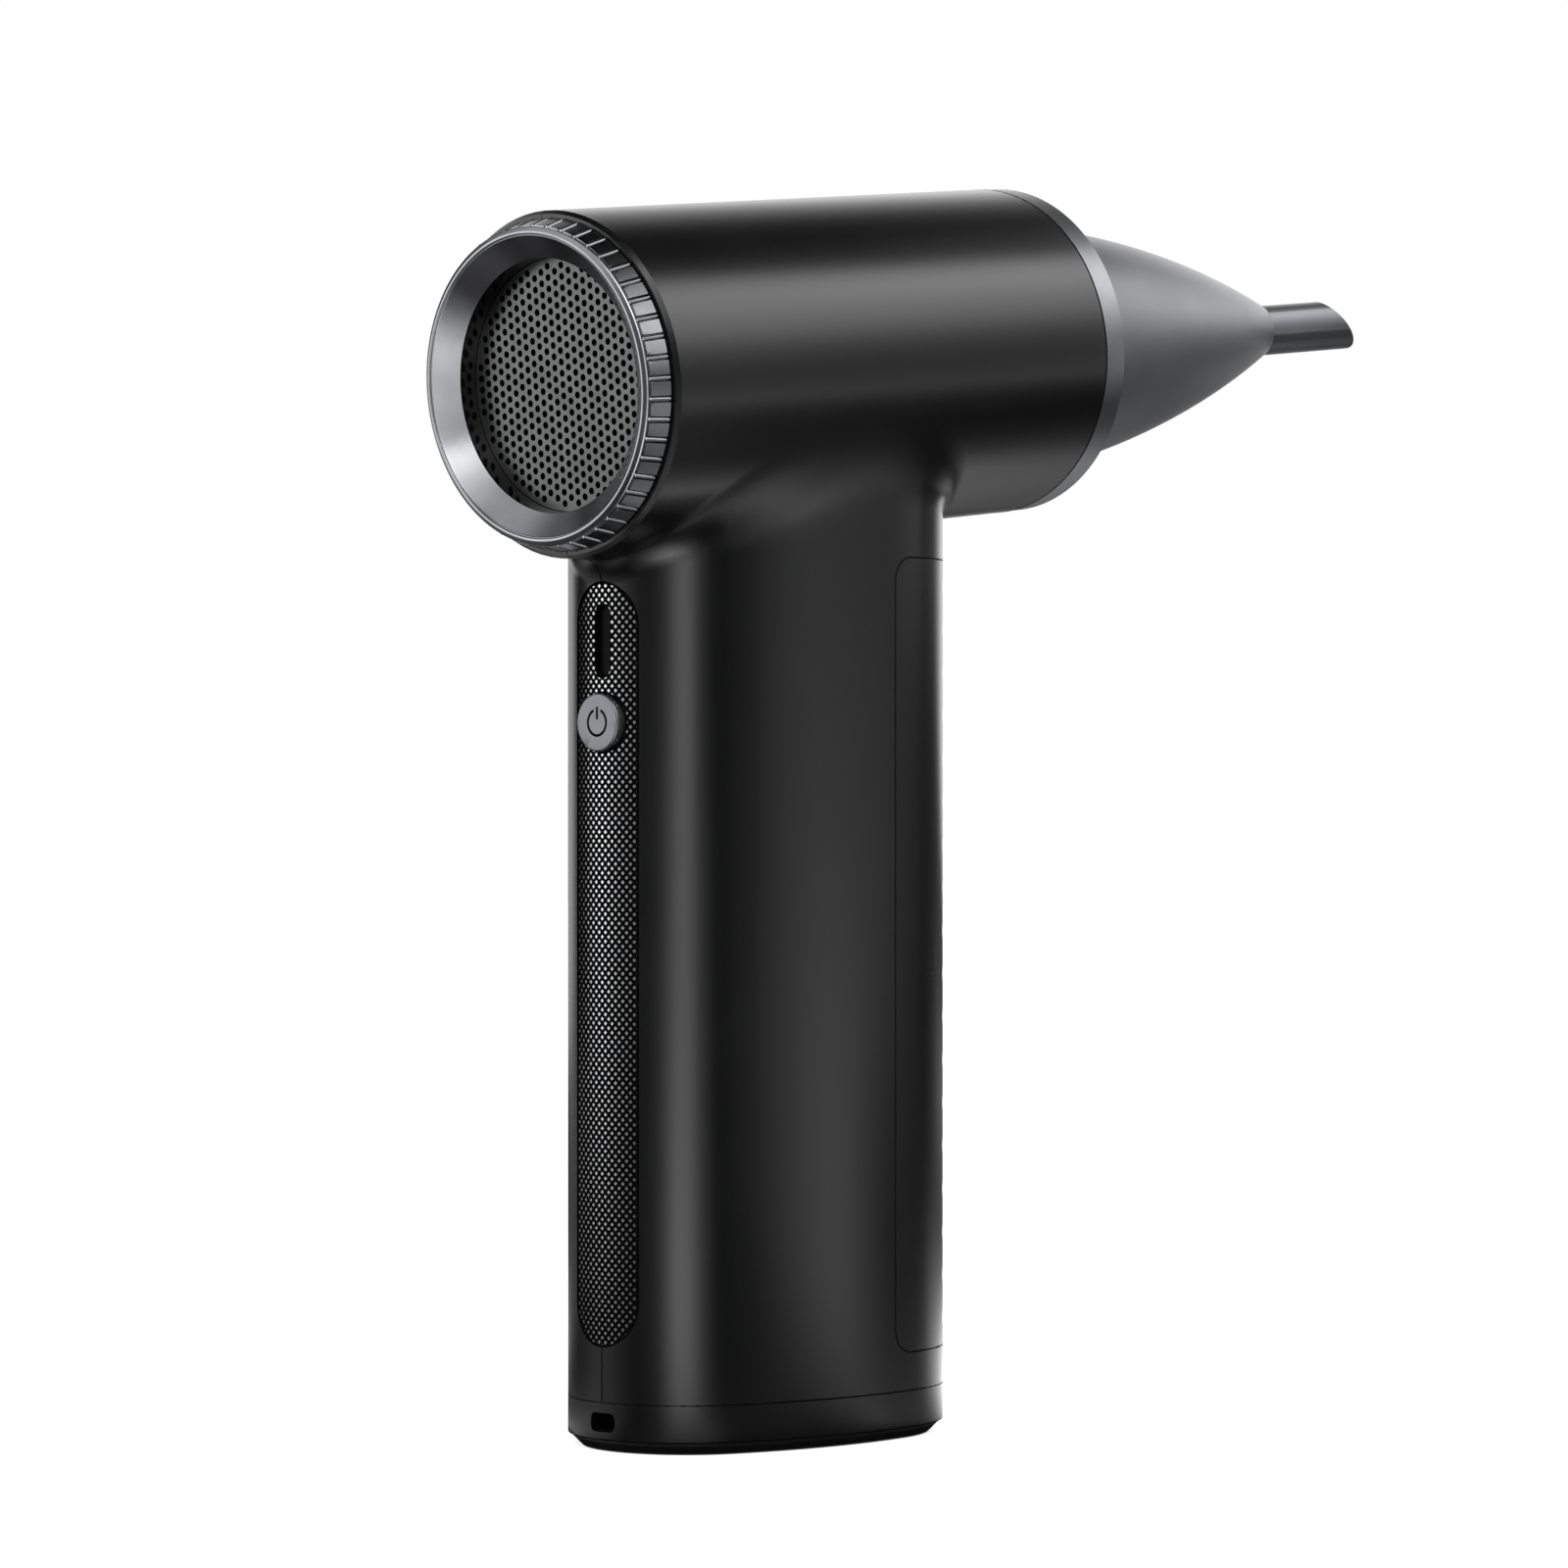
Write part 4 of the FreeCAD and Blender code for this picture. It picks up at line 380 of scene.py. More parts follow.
def punched_sheet(name, dark, light, wall, roughness):
    """Blasted sheet across the barrel's axis, with painted shade: a dark colour on the walls of its
    holes.
    """
    material, tree = blank_material(name)
    coords = add(tree, "ShaderNodeTexCoord")
    tilt = math.radians(BARREL_TILT)
    facing = add(tree, "ShaderNodeVectorMath",
                 {0: coords.outputs["Normal"], 1: (math.cos(tilt), 0.0, math.sin(tilt))},
                 operation="DOT_PRODUCT")
    flat = add(tree, "ShaderNodeMath", {0: facing.outputs["Value"]}, operation="ABSOLUTE")
    low, high = HOLE_SHADE_FACING
    face = add(tree, "ShaderNodeMapRange",
               {"Value": flat.outputs[0], "From Min": low, "From Max": high})
    sheet = mottled(tree, coords.outputs["Object"], dark, light, SHEET_PATCH)
    # A mix node's colours are its inputs 6 and 7 and its output 2
    # Painted shade: the walls of the holes take the dark colour, the face keeps the sheet's grey
    color = add(tree, "ShaderNodeMix", {"Factor": face.outputs["Result"], 6: linear(wall), 7: sheet},
                data_type="RGBA")
    grain = add(tree, "ShaderNodeTexNoise", {
        "Vector": coords.outputs["Object"], "Scale": 1 / (BLAST_GRAIN * MM), "Detail": 2.0})
    bump = add(tree, "ShaderNodeBump",
               {"Height": grain.outputs["Fac"], "Distance": BLAST_DEPTH * MM, "Strength": 1.0})
    shader = add(tree, "ShaderNodeBsdfPrincipled", {
        "Base Color": color.outputs[2], "Roughness": roughness, "Metallic": 1.0,
        "Normal": bump.outputs["Normal"]})
    finish_material(tree, shader)
    return material


def make_outer_materials():
    """Finishes of the pieces that are seen, each named for its real material and process."""
    return {
        # moulded PC/ABS, spark-eroded grain: even satin black, soft wide highlights
        "shell": grained("moulded_abs_satin_black", "#08090a", "#0b0c0d",
                         roughness=0.25, grain=0.22, depth=0.002, spread=0.015),
        # moulded soft-touch rubber over the grip: a little duller than the shell
        "grip": grained("moulded_tpe_black", "#08090a", "#0b0c0d",
                        roughness=0.27, grain=0.18, depth=0.002, spread=0.015),
        # glossy moulded ABS: deep black with crisp reflections
        "gloss": grained("moulded_abs_gloss_black", "#050506", "#08080a",
                         roughness=0.14, grain=0.5, depth=0.001),
        # nickel plate on the strip's small diamonds: bright flat tops
        "diamonds": grained("plated_nickel_diamonds", "#a8a9ab", "#b7b8ba",
                            roughness=0.22, grain=0.4, depth=0.002, metallic=1.0),
        # ABS nozzle in dark grey paint with metal flakes: satin, with a faint sparkle
        "nozzle": grained("painted_abs_metal_flake", "#606164", "#68696c",
                          roughness=0.38, grain=0.16, depth=0.003, metallic=0.6),
        # the same paint under clear lacquer on the tip: crisp reflections
        "tip": grained("lacquered_tip_grey", "#626366", "#6a6b6e",
                       roughness=0.13, grain=0.4, depth=0.0006, metallic=0.6, spread=0.02),
        # anodised aluminium, turned: grey with very fine rings
        "ring": turned_metal("anodised_aluminium_turned", "#8a8b8e", "#949598", roughness=0.25),
        # the same, a little darker and duller, on the ring round the outlet
        "trim": turned_metal("anodised_aluminium_trim", "#7c7d80", "#868789", roughness=0.34),
        # zinc alloy button, blasted and plated: satin grey
        "button": grained("plated_zinc_satin", "#67686b", "#737477",
                          roughness=0.32, grain=0.15, depth=0.003, metallic=1.0),
        # punched stainless sheet, blasted: mid grey face, and painted shade as a dark colour on the
        # walls in the holes
        "mesh": punched_sheet("punched_stainless_blasted_hole_shade", "#5e5f5f", "#696a6a", "#101011",
                              roughness=0.38),
        # smoked polycarbonate window with a matt face: reads as a black slot
        "window": grained("smoked_polycarbonate_matt", "#020203", "#040405",
                          roughness=0.6, grain=0.3, depth=0.002, shine=0.1),
        # dull black paint between the diamonds and in the sign, and the same black as painted shade
        # deep in the seams: no shine
        "paint": grained("dull_black_paint_and_gap_shade", "#020203", "#040405",
                         roughness=0.8, grain=0.2, depth=0.002, shine=0.05),
        # thermoplastic rubber of the foot pad and the soft mounts: dull
        "foot": grained("moulded_rubber_foot", "#101011", "#151516",
                        roughness=0.6, grain=0.3, depth=0.01),
    }


def make_inner_materials():
    """Finishes of the pieces inside, each named for its real material and process."""
    return {
        # moulded nylon: dark, half dull
        "inner": grained("moulded_nylon_black", "#141516", "#1a1b1c",
                         roughness=0.45, grain=0.25, depth=0.004),
        # varnish on the circuit boards: green, fairly glossy
        "board": grained("varnished_board_green", "#0c3a22", "#10472a",
                         roughness=0.3, grain=0.5, depth=0.002),
        # plain ground steel: bright
        "steel": grained("ground_steel", "#8d8f91", "#9a9c9e",
                         roughness=0.3, grain=0.1, depth=0.002, metallic=1.0),
        # enamelled copper wire: warm brown metal
        "copper": grained("enamelled_copper_wire", "#a4572a", "#b4652f",
                          roughness=0.3, grain=0.3, depth=0.01, metallic=1.0),
        # heat-shrunk PVC sleeve on the cells: glossy blue
        "sleeve": grained("shrunk_pvc_sleeve_blue", "#15406f", "#1b4b80",
                          roughness=0.25, grain=0.5, depth=0.003),
        # silicone lead insulation: soft red
        "lead": grained("silicone_lead_red", "#7d1512", "#8d1b17",
                        roughness=0.4, grain=0.3, depth=0.003),
        # milky epoxy body of the lamps: pale and glossy
        "lamp": grained("milky_epoxy_lamp", "#cfd2cc", "#dde0da",
                        roughness=0.25, grain=0.4, depth=0.001),
        # drawn aluminium can: light satin grey
        "can": grained("drawn_aluminium_can", "#a5a7a8", "#b2b4b5",
                       roughness=0.3, grain=0.15, depth=0.002, metallic=1.0),
    }


def make_mesh(name, points, faces, material, smooth=True):
    """Object from points in metres and faces, with one material."""
    mesh = bpy.data.meshes.new(name)
    mesh.from_pydata([tuple(p) for p in points], [], [tuple(f) for f in faces])
    mesh.update()
    mesh.materials.append(material)
    for polygon in mesh.polygons:
        polygon.use_smooth = smooth
    piece = bpy.data.objects.new(name, mesh)
    bpy.context.scene.collection.objects.link(piece)
    return piece


def shade_by_angle(piece, degrees, weld=False):
    """Smooth shading, with edges kept sharp above an angle."""
    if weld:
        modifier = piece.modifiers.new("weld", "WELD")
        modifier.merge_threshold = WELD_DISTANCE * MM
    tree = bpy.data.node_groups.new(piece.name + "_shading", "GeometryNodeTree")
    tree.interface.new_socket("Mesh", in_out="INPUT", socket_type="NodeSocketGeometry")
    tree.interface.new_socket("Mesh", in_out="OUTPUT", socket_type="NodeSocketGeometry")
    source = add(tree, "NodeGroupInput")
    angle = add(tree, "GeometryNodeInputMeshEdgeAngle")
    sharp = add(tree, "FunctionNodeCompare",
                {"A": angle.outputs["Unsigned Angle"], "B": math.radians(degrees)},
                data_type="FLOAT", operation="GREATER_THAN")
    faces = add(tree, "GeometryNodeSetShadeSmooth",
                {"Geometry": source.outputs[0], "Shade Smooth": True}, domain="FACE")
    edges = add(tree, "GeometryNodeSetShadeSmooth",
                {"Geometry": faces.outputs[0], "Selection": sharp.outputs["Result"],
                 "Shade Smooth": False}, domain="EDGE")
    add(tree, "NodeGroupOutput", {0: edges.outputs[0]})
    piece.modifiers.new("shading", "NODES").node_group = tree


def rounded(points, radius):
    """Open outline with each corner between its two ends turned into a small arc."""
    result = [points[0]]
    for last, corner, following in zip(points, points[1:], points[2:]):
        corner = Vector(corner)
        before = Vector(last) - corner
        after = Vector(following) - corner
        run = min(radius / math.tan(before.angle(after) / 2),
                  before.length * ROUNDING_SHARE, after.length * ROUNDING_SHARE)
        start = corner + before.normalized() * run
        end = corner + after.normalized() * run
        for k in range(ROUNDING_STEPS + 1):
            t = k / ROUNDING_STEPS
            result.append(tuple(start.lerp(corner, t).lerp(corner.lerp(end, t), t)))
    return result + [points[-1]]


def climbed(distance, length):
    """Share of a slope that lies behind: 0 at its foot, 1 at its top and after."""
    return min(1.0, max(0.0, distance / length))


def knurl_radius(place, radius, angle):
    """Radius of the knurled band, from its smooth cone's radius at a place and an angle."""
    across = abs(((angle / SECTOR + 0.5) % 1 - 0.5) * SECTOR * radius)
    from_rear = place - SHOULDER_END
    from_front = RING_FRONT - place
    rib = max(0.0, 1 - (across / RIB_HALF_WIDTH) ** 2) ** 0.5
    rib *= climbed(from_rear + RIB_LEAD - RIB_POINT * across, RIB_RISE)
    rib *= climbed(from_front, RIB_FALL) ** 0.5
    pad = climbed(across - PAD_EDGE, PAD_SLOPE) * climbed(from_rear - PAD_START, PAD_SLOPE)
    sunk = climbed(from_rear + KNURL_LEAD, KNURL_RISE)
    return radius + (max(KNURL_DEPTH * pad, RIB_HEIGHT * rib) * sunk - KNURL_DEPTH * sunk)


def lathe(name, outline, material, angles, knurled=()):
    """Ring round the barrel's axis; the rows of its outline that are knurled get ribs and pads."""
    points = []
    for angle in angles:
        for row, (place, radius) in enumerate(outline):
            if row in knurled:
                radius = knurl_radius(place, radius, angle)
            local = Vector((place, -radius * math.cos(angle), radius * math.sin(angle))) * MM
            points.append(TO_BARREL @ local)
    rows = len(outline)
    count = len(angles)
    faces = []
    for j in range(count):
        for i in range(rows):
            after = (i + 1) % rows
            beside = (j + 1) % count
            faces.append((j * rows + i, j * rows + after, beside * rows + after,
                          beside * rows + i))
    return make_mesh(name, points, faces, material)


def make_camera():
    """Camera at the photograph's place, level and without shift."""
    camera = bpy.data.objects.new("camera", bpy.data.cameras.new("camera"))
    back = Vector(CAMERA_BACK).normalized()
    right = Vector(CAMERA_RIGHT).normalized()
    up = back.cross(right).normalized()
    turn = Matrix((right, up, back)).transposed().to_4x4()
    camera.matrix_world = Matrix.Translation(CAMERA_PLACE) @ turn
    camera.data.lens = CAMERA_LENS
    camera.data.sensor_width = CAMERA_SENSOR
    camera.data.clip_start = CAMERA_NEAR
    bpy.context.scene.collection.objects.link(camera)
    bpy.context.scene.camera = camera


def seen_or_mirrored(tree):
    """One where a surface is seen directly, in a reflection or through glass."""
    path = add(tree, "ShaderNodeLightPath")
    seen = add(tree, "ShaderNodeMath",
               {0: path.outputs["Is Camera Ray"], 1: path.outputs["Is Glossy Ray"]},
               operation="MAXIMUM")
    either = add(tree, "ShaderNodeMath",
                 {0: seen.outputs[0], 1: path.outputs["Is Transmission Ray"]},
                 operation="MAXIMUM")
    return either.outputs[0]


def make_world():
    """Plain studio surroundings, white where they are seen or mirrored."""
    world = bpy.data.worlds.new("studio")
    bpy.context.scene.world = world
    world.use_nodes = True
    tree = world.node_tree
    tree.nodes.clear()
    path = add(tree, "ShaderNodeLightPath")
    fill = add(tree, "ShaderNodeMath", {0: path.outputs["Is Diffuse Ray"], 1: WORLD_FILL},
               operation="MULTIPLY")
    level = add(tree, "ShaderNodeMath", {0: fill.outputs[0], 1: seen_or_mirrored(tree)},
                operation="MAXIMUM")
    lit = add(tree, "ShaderNodeBackground", {"Color": (1, 1, 1, 1), "Strength": level.outputs[0]})
    add(tree, "ShaderNodeOutputWorld", {"Surface": lit.outputs[0]})


def make_floor():
    """Pale floor: white where it is seen, with the blower's soft shadow."""
    material, tree = blank_material("studio_floor_pale")
    matt = add(tree, "ShaderNodeBsdfDiffuse", {"Color": linear("#f4f4f4")})
    glow = add(tree, "ShaderNodeEmission", {"Color": (1, 1, 1, 1), "Strength": FLOOR_GLOW})
    both = add(tree, "ShaderNodeAddShader", {0: matt.outputs[0], 1: glow.outputs[0]})
    mix = add(tree, "ShaderNodeMixShader",
              {0: seen_or_mirrored(tree), 1: matt.outputs[0], 2: both.outputs[0]})
    finish_material(tree, mix)
    corners = [(x * FLOOR_HALF, y * FLOOR_HALF, 0) for x, y in ((-1, -1), (1, -1), (1, 1), (-1, 1))]
    make_mesh("studio_floor", corners, [(0, 1, 2, 3)], material)


def studio_card(name, rows, material):
    """Stage card made of rows of points, seen in reflections only."""
    points = [point for row in rows for point in row]
    wide = len(rows[0])
    faces = []
    for j in range(len(rows) - 1):
        for i in range(wide - 1):
            corner = j * wide + i
            faces.append((corner, corner + 1, corner + wide + 1, corner + wide))
    card = make_mesh(name, points, faces, material)
    card.visible_camera = False
    card.visible_diffuse = False
    card.visible_transmission = False
    card.visible_shadow = False
    return card


def light_card(name, rows, levels, material):
    """Studio card that glows, with a level at each corner and a soft change between."""
    card = studio_card(name, rows, material)
    shade = card.data.color_attributes.new("level", "FLOAT_COLOR", "POINT")
    for corner, level in zip(shade.data, [level for row in levels for level in row]):
        corner.color = (level, level, level, 1.0)


def round_studio(azimuth, elevation, distance, height=STUDIO_MIDDLE):
    """Point in a direction from the studio's middle, in metres."""
    flat = math.cos(math.radians(elevation)) * distance
    return (flat * math.cos(math.radians(azimuth)), flat * math.sin(math.radians(azimuth)),
            height + distance * math.sin(math.radians(elevation)))


def round_barrel(roll, off_axis, middle=(0.0, 0.0, BARREL_REAR[2] * MM), radius=KEY_RADIUS):
    """Point round the barrel's line, in metres: roll 0 is level on the right, 90 is above."""
    side = math.sin(math.radians(off_axis)) * radius
    return (middle[0] + math.cos(math.radians(off_axis)) * radius,
            middle[1] - side * math.cos(math.radians(roll)),
            middle[2] + side * math.sin(math.radians(roll)))


def make_dark_room():
    """Black cloth all round, behind the light cards."""
    material, tree = blank_material("studio_black_cloth")
    cloth = add(tree, "ShaderNodeBsdfDiffuse", {"Color": linear("#1c1c1c")})
    finish_material(tree, cloth)
    azimuths = np.linspace(0, 360, num=49)
    studio_card("dark_wall", [[round_studio(azimuth, rise, ROOM_RADIUS) for azimuth in azimuths]
                              for rise in np.linspace(*ROOM_RISE, num=20)], material)
    studio_card("dark_floor", [[round_studio(azimuth, 0, radius, ROOM_FLOOR_LIFT)
                                for azimuth in azimuths] for radius in ROOM_FLOOR_RADII], material)


def make_wall_cards(name, levels, material):
    """Upright card with a sloping one above it, with levels that change along the wall."""
    low, middle, high = WALL_RISE
    for part, rises, place in (("", (low, middle), 0), ("_high", (middle, high), 1)):
        along = [pair[place] for pair in levels.values()]
        light_card(name + part, [[round_studio(azimuth, rise, WALL_RADIUS) for azimuth in levels]
                                 for rise in rises], [along, along], material)


def make_light_cards():
    """Glowing cards round the blower: they shape the highlights on its satin skin."""
    material, tree = blank_material("studio_light_cards")
    level = add(tree, "ShaderNodeAttribute", attribute_name="level")
    glow = add(tree, "ShaderNodeEmission", {"Color": level.outputs["Color"], "Strength": 1.0})
    finish_material(tree, glow)
    light_card("key_card", [[round_barrel(roll, off) for off in KEY_OFF_AXIS]
                            for roll in KEY_LEVELS], KEY_LEVELS.values(), material)
    light_card("tip_card", [[round_barrel(roll, off, TIP_MIDDLE, TIP_RADIUS)
                             for off in TIP_OFF_AXIS] for roll in TIP_LEVELS],
               [[level] * len(TIP_OFF_AXIS) for level in TIP_LEVELS.values()], material)
    make_wall_cards("camera_side_card", CAMERA_SIDE_LEVELS, material)
    make_wall_cards("left_side_card", LEFT_SIDE_LEVELS, material)
    light_card("floor_card", [[round_studio(azimuth, 0, radius, CARD_FLOOR_LIFT)
                               for radius in FLOOR_RADII] for azimuth in FLOOR_LEVELS],
               FLOOR_LEVELS.values(), material)


def make_lamps():
    """Wide soft lamps that look at the studio's middle and light matt surfaces only."""
    middle = Vector((0.0, 0.0, STUDIO_MIDDLE))
    for name, (azimuth, elevation, power) in LAMPS.items():
        data = bpy.data.lights.new(name, "AREA")
        data.shape = "RECTANGLE"
        data.size, data.size_y = LAMP_SIZE, LAMP_SIZE
        data.energy = power
        lamp = bpy.data.objects.new(name, data)
        lamp.location = round_studio(azimuth, elevation, LAMP_DISTANCE)
        lamp.rotation_euler = (middle - lamp.location).to_track_quat("-Z", "Y").to_euler()
        lamp.visible_glossy = False
        bpy.context.scene.collection.objects.link(lamp)


def nearest_hit(nodes, start, direction):
    """Place just outside the first surface that a ray meets, or None."""
    start, direction = Vector(start) * MM, Vector(direction).normalized()
    hits = [node.ray_cast(start, direction) for node in nodes]
    distances = [(place - start).length for found, place, *_ in hits if found]
    if not distances:
        return None
    return start + direction * (min(distances) - SEAM_LIFT * MM)


def seam_shade_line(name, node_names, pairs, material):
    """Narrow dark ribbon over a seam, painted shade for its gap: a pair of rays finds its two edges
    at each step.
    """
    nodes = [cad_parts[node] for node in node_names]
    points, faces, joined = [], [], False
    for pair in pairs:
        ends = [nearest_hit(nodes, *ray) for ray in pair]
        if None in ends:
            joined = False
            continue
        if joined:
            count = len(points)
            faces.append((count - 2, count - 1, count + 1, count))
        points += ends
        joined = True
    piece = make_mesh(name, points, faces, material)
    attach(piece, "housing")


def grip_edge(side, z, out):
    """Rays along one edge of the grip, from the handle's front to the end of its rear corner."""
    shifts = (SEAM_WIDTH / 2, -SEAM_WIDTH / 2)
    front = [[((NOSE_X + ROUND_GRIP * math.cos(t), side * ROUND_GRIP * math.sin(t), z + out * shift),
               (-math.cos(t), -side * math.sin(t), 0)) for shift in shifts]
             for t in np.radians(np.linspace(0, GRIP_TURN, num=30))]
    corner_x = GRIP_EDGE_X + GRIP_CORNER
    corner_z = z - out * GRIP_CORNER
    bend = [[((corner_x - (GRIP_CORNER + shift) * math.sin(t), side * ROUND_GRIP,
               corner_z + out * (GRIP_CORNER + shift) * math.cos(t)), (0, -side, 0))
             for shift in shifts] for t in np.radians(np.linspace(0, 90, num=9))]
    return front + bend


def make_seam_shade_lines(material):
    """Dark lines of painted shade in the gaps: the split of the case on its middle plane, the base
    seam, the grip's outline.
    """
    half = SEAM_WIDTH / 2
    sides = (-half, half)
    case = ["housing_left", "housing_right"]
    heights = np.linspace(BASE_SEAM_TOP + LOW_SEAM_GAPS[0], STRIP_BOTTOM - LOW_SEAM_GAPS[1], num=8)
    turns = np.radians(np.linspace(*NECK_SEAM_TURNS, num=24))
    split = {
        "low": [[((BEHIND_X, y, z), (1, 0, 0)) for y in sides] for z in heights],
        "neck": [[((NECK_SEAM_X, y, STRIP_TOP), (math.cos(t), 0, math.sin(t))) for y in sides]
                 for t in turns],
        "top": [[((x, y, ABOVE_Z), (0, 0, -1)) for y in sides]
                for x in np.linspace(*TOP_SEAM_X, num=60)],
        "under": [[((x, y, BELOW_Z), (0, 0, 1)) for y in sides]
                  for x in np.linspace(*UNDER_SEAM_X, num=12)],
    }
    for name, pairs in split.items():
        # Each ribbon is painted shade over the gap of a seam
        seam_shade_line("split_seam_shade_" + name, case, pairs, material)
    base_z = BASE_SEAM_TOP - BASE_SEAM_HALF
    seam_shade_line("base_seam_shade", case + ["base_cap"],
              [[((ROUND_BASE * math.cos(t), ROUND_BASE * math.sin(t), base_z + side),
                 (-math.cos(t), -math.sin(t), 0)) for side in sides]
               for t in np.radians(np.arange(0, 361, BASE_SEAM_STEP))], material)
    for side, name in ((-1, "right"), (1, "left")):
        rays = grip_edge(side, GRIP_TOP, 1) + grip_edge(side, GRIP_BOTTOM, -1)[::-1]
        seam_shade_line("grip_outline_shade_" + name, case + ["grip_insert"], rays, material)


def make_trim_gap_shade(material):
    """Black ring of painted shade, sunk in the gap between the barrel's front edge and the trim
    ring.
    """
    rear, front = BARREL_LENGTH - TRIM_LINE_BEHIND, BARREL_LENGTH + TRIM_LINE_AHEAD
    low, high = BARREL_RADIUS - TRIM_LINE_DEPTH, BARREL_RADIUS + SEAM_LIFT
    outline = [(rear, low), (rear, high), (front, high), (front, low)]
    angles = np.radians(np.arange(0, 360, TRIM_LINE_STEP))
    # painted shade: a black ring in the gap between barrel and trim
    line = lathe("trim_gap_shade_ring", outline, material, angles)
    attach(line, "housing")


def make_button_sign(material):
    """Dark paint in the engraved power sign: an open ring and an upright bar."""
    face_x = HANDLE_REAR_X - BUTTON_PROUD - SEAM_LIFT
    half = SIGN_LINE / 2
    points = []
    turns = np.radians(np.linspace(90 + SIGN_OPENING / 2, 450 - SIGN_OPENING / 2, num=49))
    for t in turns:
        for radius in (SIGN_RADIUS - half, SIGN_RADIUS + half):
            points.append((face_x, -radius * math.cos(t), BUTTON_Z + radius * math.sin(t)))
    faces = [(2 * k, 2 * k + 1, 2 * k + 3, 2 * k + 2) for k in range(len(turns) - 1)]
    first = len(points)
    bottom, top = BUTTON_Z + SIGN_RADIUS / 4, BUTTON_Z + SIGN_RADIUS + SIGN_LINE
    points += [(face_x, y, z) for y, z in ((half, bottom), (half, top), (-half, top),
                                           (-half, bottom))]
    faces.append(tuple(range(first, first + 4)))
    sign = make_mesh("power_sign_paint", [Vector(p) * MM for p in points], faces, material,
                     smooth=False)
    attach(sign, "power_button")


def rim_outline():
    """Section of the ring from the funnel's inner end, over the rim, to the shoulder."""
    lip = FUNNEL_MOUTH - LIP_INSET
    funnel = [(FUNNEL_END, INLET_RADIUS), (-RING_REACH + MOUTH_SINK, lip - LIP_HALF_WIDTH)]
    crest = [(-RING_REACH + LIP_SINK, lip)]
    groove = [(-RING_REACH + GROOVE_DEPTH, lip + LIP_HALF_WIDTH),
              (-RING_REACH + GROOVE_DEPTH, lip + GROOVE_OUT)]
    face = [(-RING_REACH, lip + FACE_IN), (-RING_REACH, SHOULDER_RADIUS - FACE_INSET)]
    edge = [(-RING_REACH + EDGE_SINK, SHOULDER_RADIUS - EDGE_INSET),
            (SHOULDER_END - EDGE_INSET, SHOULDER_RADIUS)]
    return rounded(funnel + crest + groove + face + edge, RIM_ROUNDING)


def band_outline():
    """Section of the knurled band as a plain cone, with close rows where its slopes are."""
    places = np.concatenate([
        np.linspace(SHOULDER_END + CLOSE_ROWS_START, SHOULDER_END + CLOSE_ROWS_END, num=13),
        np.linspace(SHOULDER_END + WIDE_ROWS_START, RING_FRONT - FRONT_ROWS[0], num=8),
        [RING_FRONT - distance for distance in FRONT_ROWS[1:]]])
    run = RING_FRONT - SHOULDER_END
    widening = KNURL_RADIUS - SHOULDER_RADIUS
    return [(place, SHOULDER_RADIUS + widening * ((place - SHOULDER_END) / run)) for place in places]


def make_speed_ring(finish):
    """Turned inlet ring with a polished funnel, a fine groove, a rim and a knurled band."""
    rim, band = rim_outline(), band_outline()
    sleeve = [(RING_FRONT, SLEEVE_OUT), (SLEEVE_END, SLEEVE_OUT), (SLEEVE_END, SLEEVE_IN),
              (FUNNEL_END, SLEEVE_IN)]
    half_sector = SECTOR * ROWS_RADIUS / 2
    shares = {side * offset / (2 * half_sector) for offset in (*ROWS_ACROSS, half_sector)
              for side in (1, -1)}
    offsets = sorted(share for share in shares if share > -0.5)
    angles = [(k + offset) * SECTOR for k in range(RIB_COUNT) for offset in offsets]
    ring = lathe("speed_ring_turned", rim + band + sleeve, finish, angles,
                 knurled=range(len(rim), len(rim + band)))
    shade_by_angle(ring, SHARP_EDGE_RING)
    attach(ring, "speed_ring")
    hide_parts("speed_ring")


def kept_on_strip(u, z):
    """Nearest place inside the strip and clear of its window and its button."""
    half = STRIP_WIDTH / 2 - STRIP_MARGIN
    near = min(max(z, STRIP_BOTTOM + STRIP_WIDTH / 2), STRIP_TOP - STRIP_WIDTH / 2)
    reach = math.hypot(u, z - near)
    if reach > half:
        u, z = u * half / reach, near + (z - near) * half / reach
    window_middle = (WINDOW_BOTTOM + WINDOW_TOP) / 2
    window_run = (WINDOW_TOP - WINDOW_BOTTOM - WINDOW_WIDTH) / 2
    for middle, run, keep in ((window_middle, window_run, WINDOW_WIDTH / 2 + STRIP_MARGIN),
                              (BUTTON_Z, 0.0, BUTTON_RADIUS + STRIP_MARGIN)):
        near = min(max(z, middle - run), middle + run)
        reach = math.hypot(u, z - near)
        if reach == 0:
            u = keep
        elif reach < keep:
            u, z = u * (keep / reach), near + (z - near) * (keep / reach)
    return u, z


def diamond_corners(u, z):
    """Four corners of a diamond's foot and four of its flat top, bent round the rear nose."""
    radius = REAR_NOSE_RADIUS - STRIP_SINK
    corners = []
    for scale, lift in ((DIAMOND_FOOT, 0.0), (DIAMOND_TOP, DIAMOND_PROUD)):
        for side, rise in ((1, 0), (0, 1), (-1, 0), (0, -1)):
            across, up = kept_on_strip(u + side * scale * DIAMOND_WIDTH / 2,
                                       z + rise * scale * DIAMOND_HEIGHT / 2)
            turn, out = across / radius, radius + lift
            corners.append(((HANDLE_REAR_X + REAR_NOSE_RADIUS - out * math.cos(turn)) * MM,
                            -out * math.sin(turn) * MM, up * MM))
    return corners


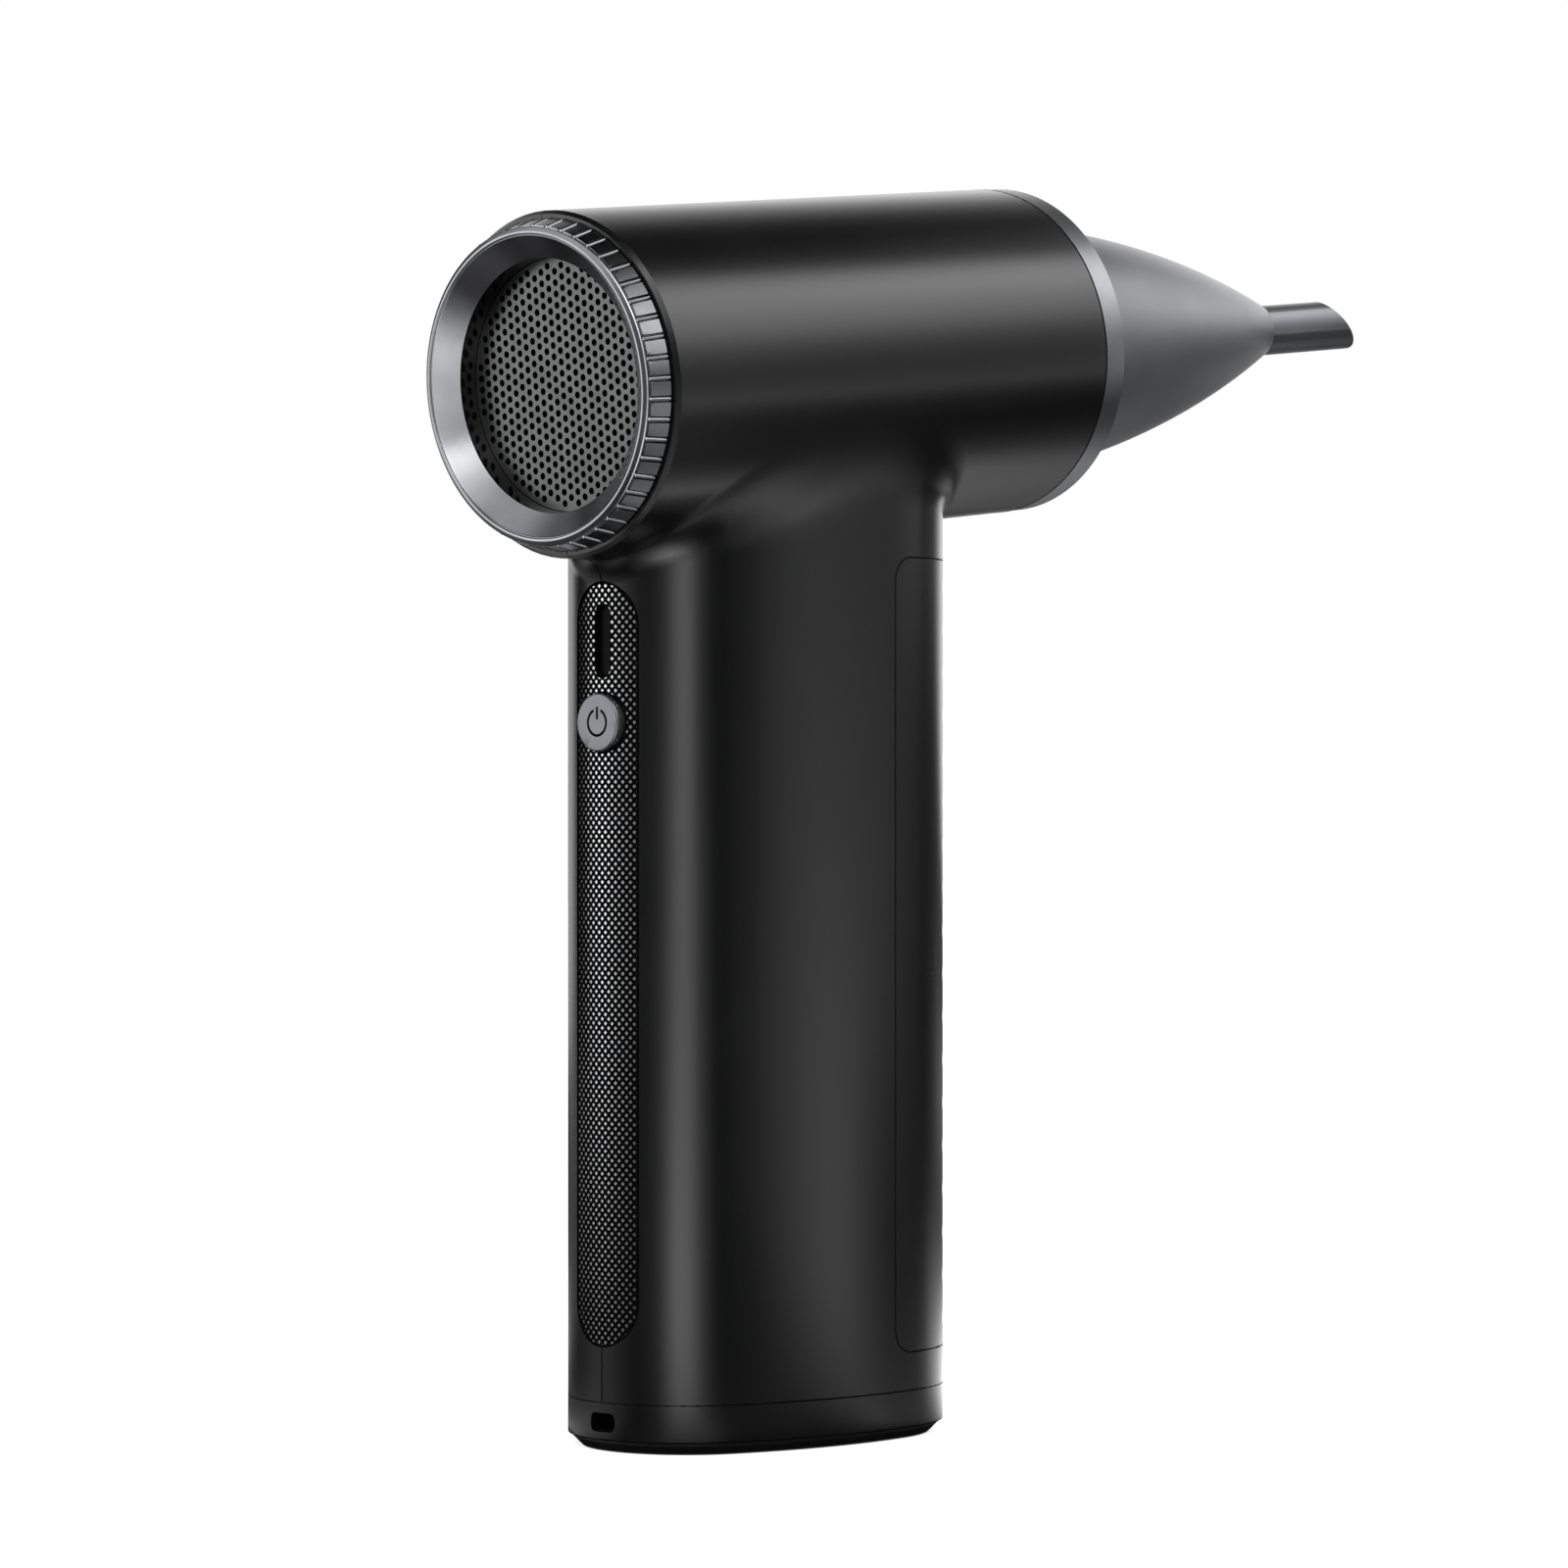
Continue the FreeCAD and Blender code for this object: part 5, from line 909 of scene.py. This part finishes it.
def make_diamonds(finish, flank):
    """Small flat-topped diamonds that cover the strip round its window and button."""
    points, faces = [], []
    columns = int(STRIP_WIDTH / DIAMOND_WIDTH) + 1
    rows = int((STRIP_TOP - STRIP_BOTTOM) / DIAMOND_HEIGHT) + 1
    for i in range(-columns, columns + 1):
        for j in range(rows + 1):
            u = i * DIAMOND_WIDTH / 2
            z = STRIP_BOTTOM + (j + (i % 2) / 2) * DIAMOND_HEIGHT
            if math.dist((u, z), kept_on_strip(u, z)) > DIAMOND_SHIFT:
                continue
            first = len(points)
            points += diamond_corners(u, z)
            faces += [(first + k, first + (k + 1) % 4, first + 4 + (k + 1) % 4, first + 4 + k)
                      for k in range(4)]
            faces.append(tuple(first + 4 + k for k in range(4)))
    diamonds = make_mesh("rear_strip_diamonds", points, faces, finish, smooth=False)
    diamonds.data.materials.append(flank)
    # Each diamond has four flanks and then its flat top
    for place, polygon in enumerate(diamonds.data.polygons):
        polygon.material_index = 0 if place % 5 == 4 else 1
    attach(diamonds, "housing")


def assign(names, material, sharp=SHARP_EDGE):
    """Gives CAD nodes a material, and keeps edges above an angle sharp."""
    for name in names:
        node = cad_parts[name]
        node.data.materials.clear()
        node.data.materials.append(material)
        shade_by_angle(node, sharp, weld=True)


def dress_outer_nodes(finishes):
    """Finishes of the solids that are seen."""
    assign(["housing_left", "housing_right", "base_cap"], finishes["shell"])
    assign(["grip_insert"], finishes["grip"], SHARP_EDGE_GRIP)
    assign(["inlet_frame"], finishes["gloss"])
    assign(["rear_strip", "charge_socket", "socket_tongue"], finishes["paint"])
    assign(["nozzle_cone"], finishes["nozzle"])
    assign(["nozzle_tip"], finishes["tip"])
    assign(["front_trim_ring"], finishes["trim"])
    assign(["power_button"], finishes["button"])
    assign(["inlet_mesh"], finishes["mesh"])
    assign(["indicator_window"], finishes["window"])
    assign(["foot_pad", "rear_fan_mount", "front_fan_mount", "nozzle_seal"], finishes["foot"])


def dress_inner_nodes(finishes):
    """Finishes of the solids inside."""
    assign(["fan_shroud", "tail_cone", "outlet_duct", "impeller", "cell_holder_lower",
            "cell_holder_upper", "motor_connector", "button_switch", "switch_plunger",
            "speed_sensor", "power_transistors"], finishes["inner"])
    assign(["control_board", "charge_board"], finishes["board"])
    assign(["rear_bearing", "front_bearing", "rotor_shaft", "case_screws", "base_screws",
            "nozzle_retaining_ring", "stator_core", "rotor_magnet", "ring_magnet",
            "cell_contacts"], finishes["steel"])
    assign(["stator_coils"], finishes["copper"])
    assign(["battery_cells"], finishes["sleeve"])
    assign(["board_capacitor"], finishes["can"])
    assign(["motor_leads", "battery_leads"], finishes["lead"])
    assign(["indicator_lamps"], finishes["lamp"])


def make_studio():
    """Camera, surroundings, floor, cards and lamps."""
    bpy.context.scene.view_settings.view_transform = "Standard"
    make_camera()
    make_world()
    make_floor()
    make_dark_room()
    make_light_cards()
    make_lamps()


def make_blower():
    """Finishes of the solids, and the pieces that stand on them or replace one."""
    finishes = make_outer_materials()
    dress_outer_nodes(finishes)
    dress_inner_nodes(make_inner_materials())
    make_speed_ring(finishes["ring"])
    make_diamonds(finishes["diamonds"], finishes["paint"])
    make_seam_shade_lines(finishes["paint"])
    make_trim_gap_shade(finishes["paint"])
    make_button_sign(finishes["paint"])


make_studio()
make_blower()
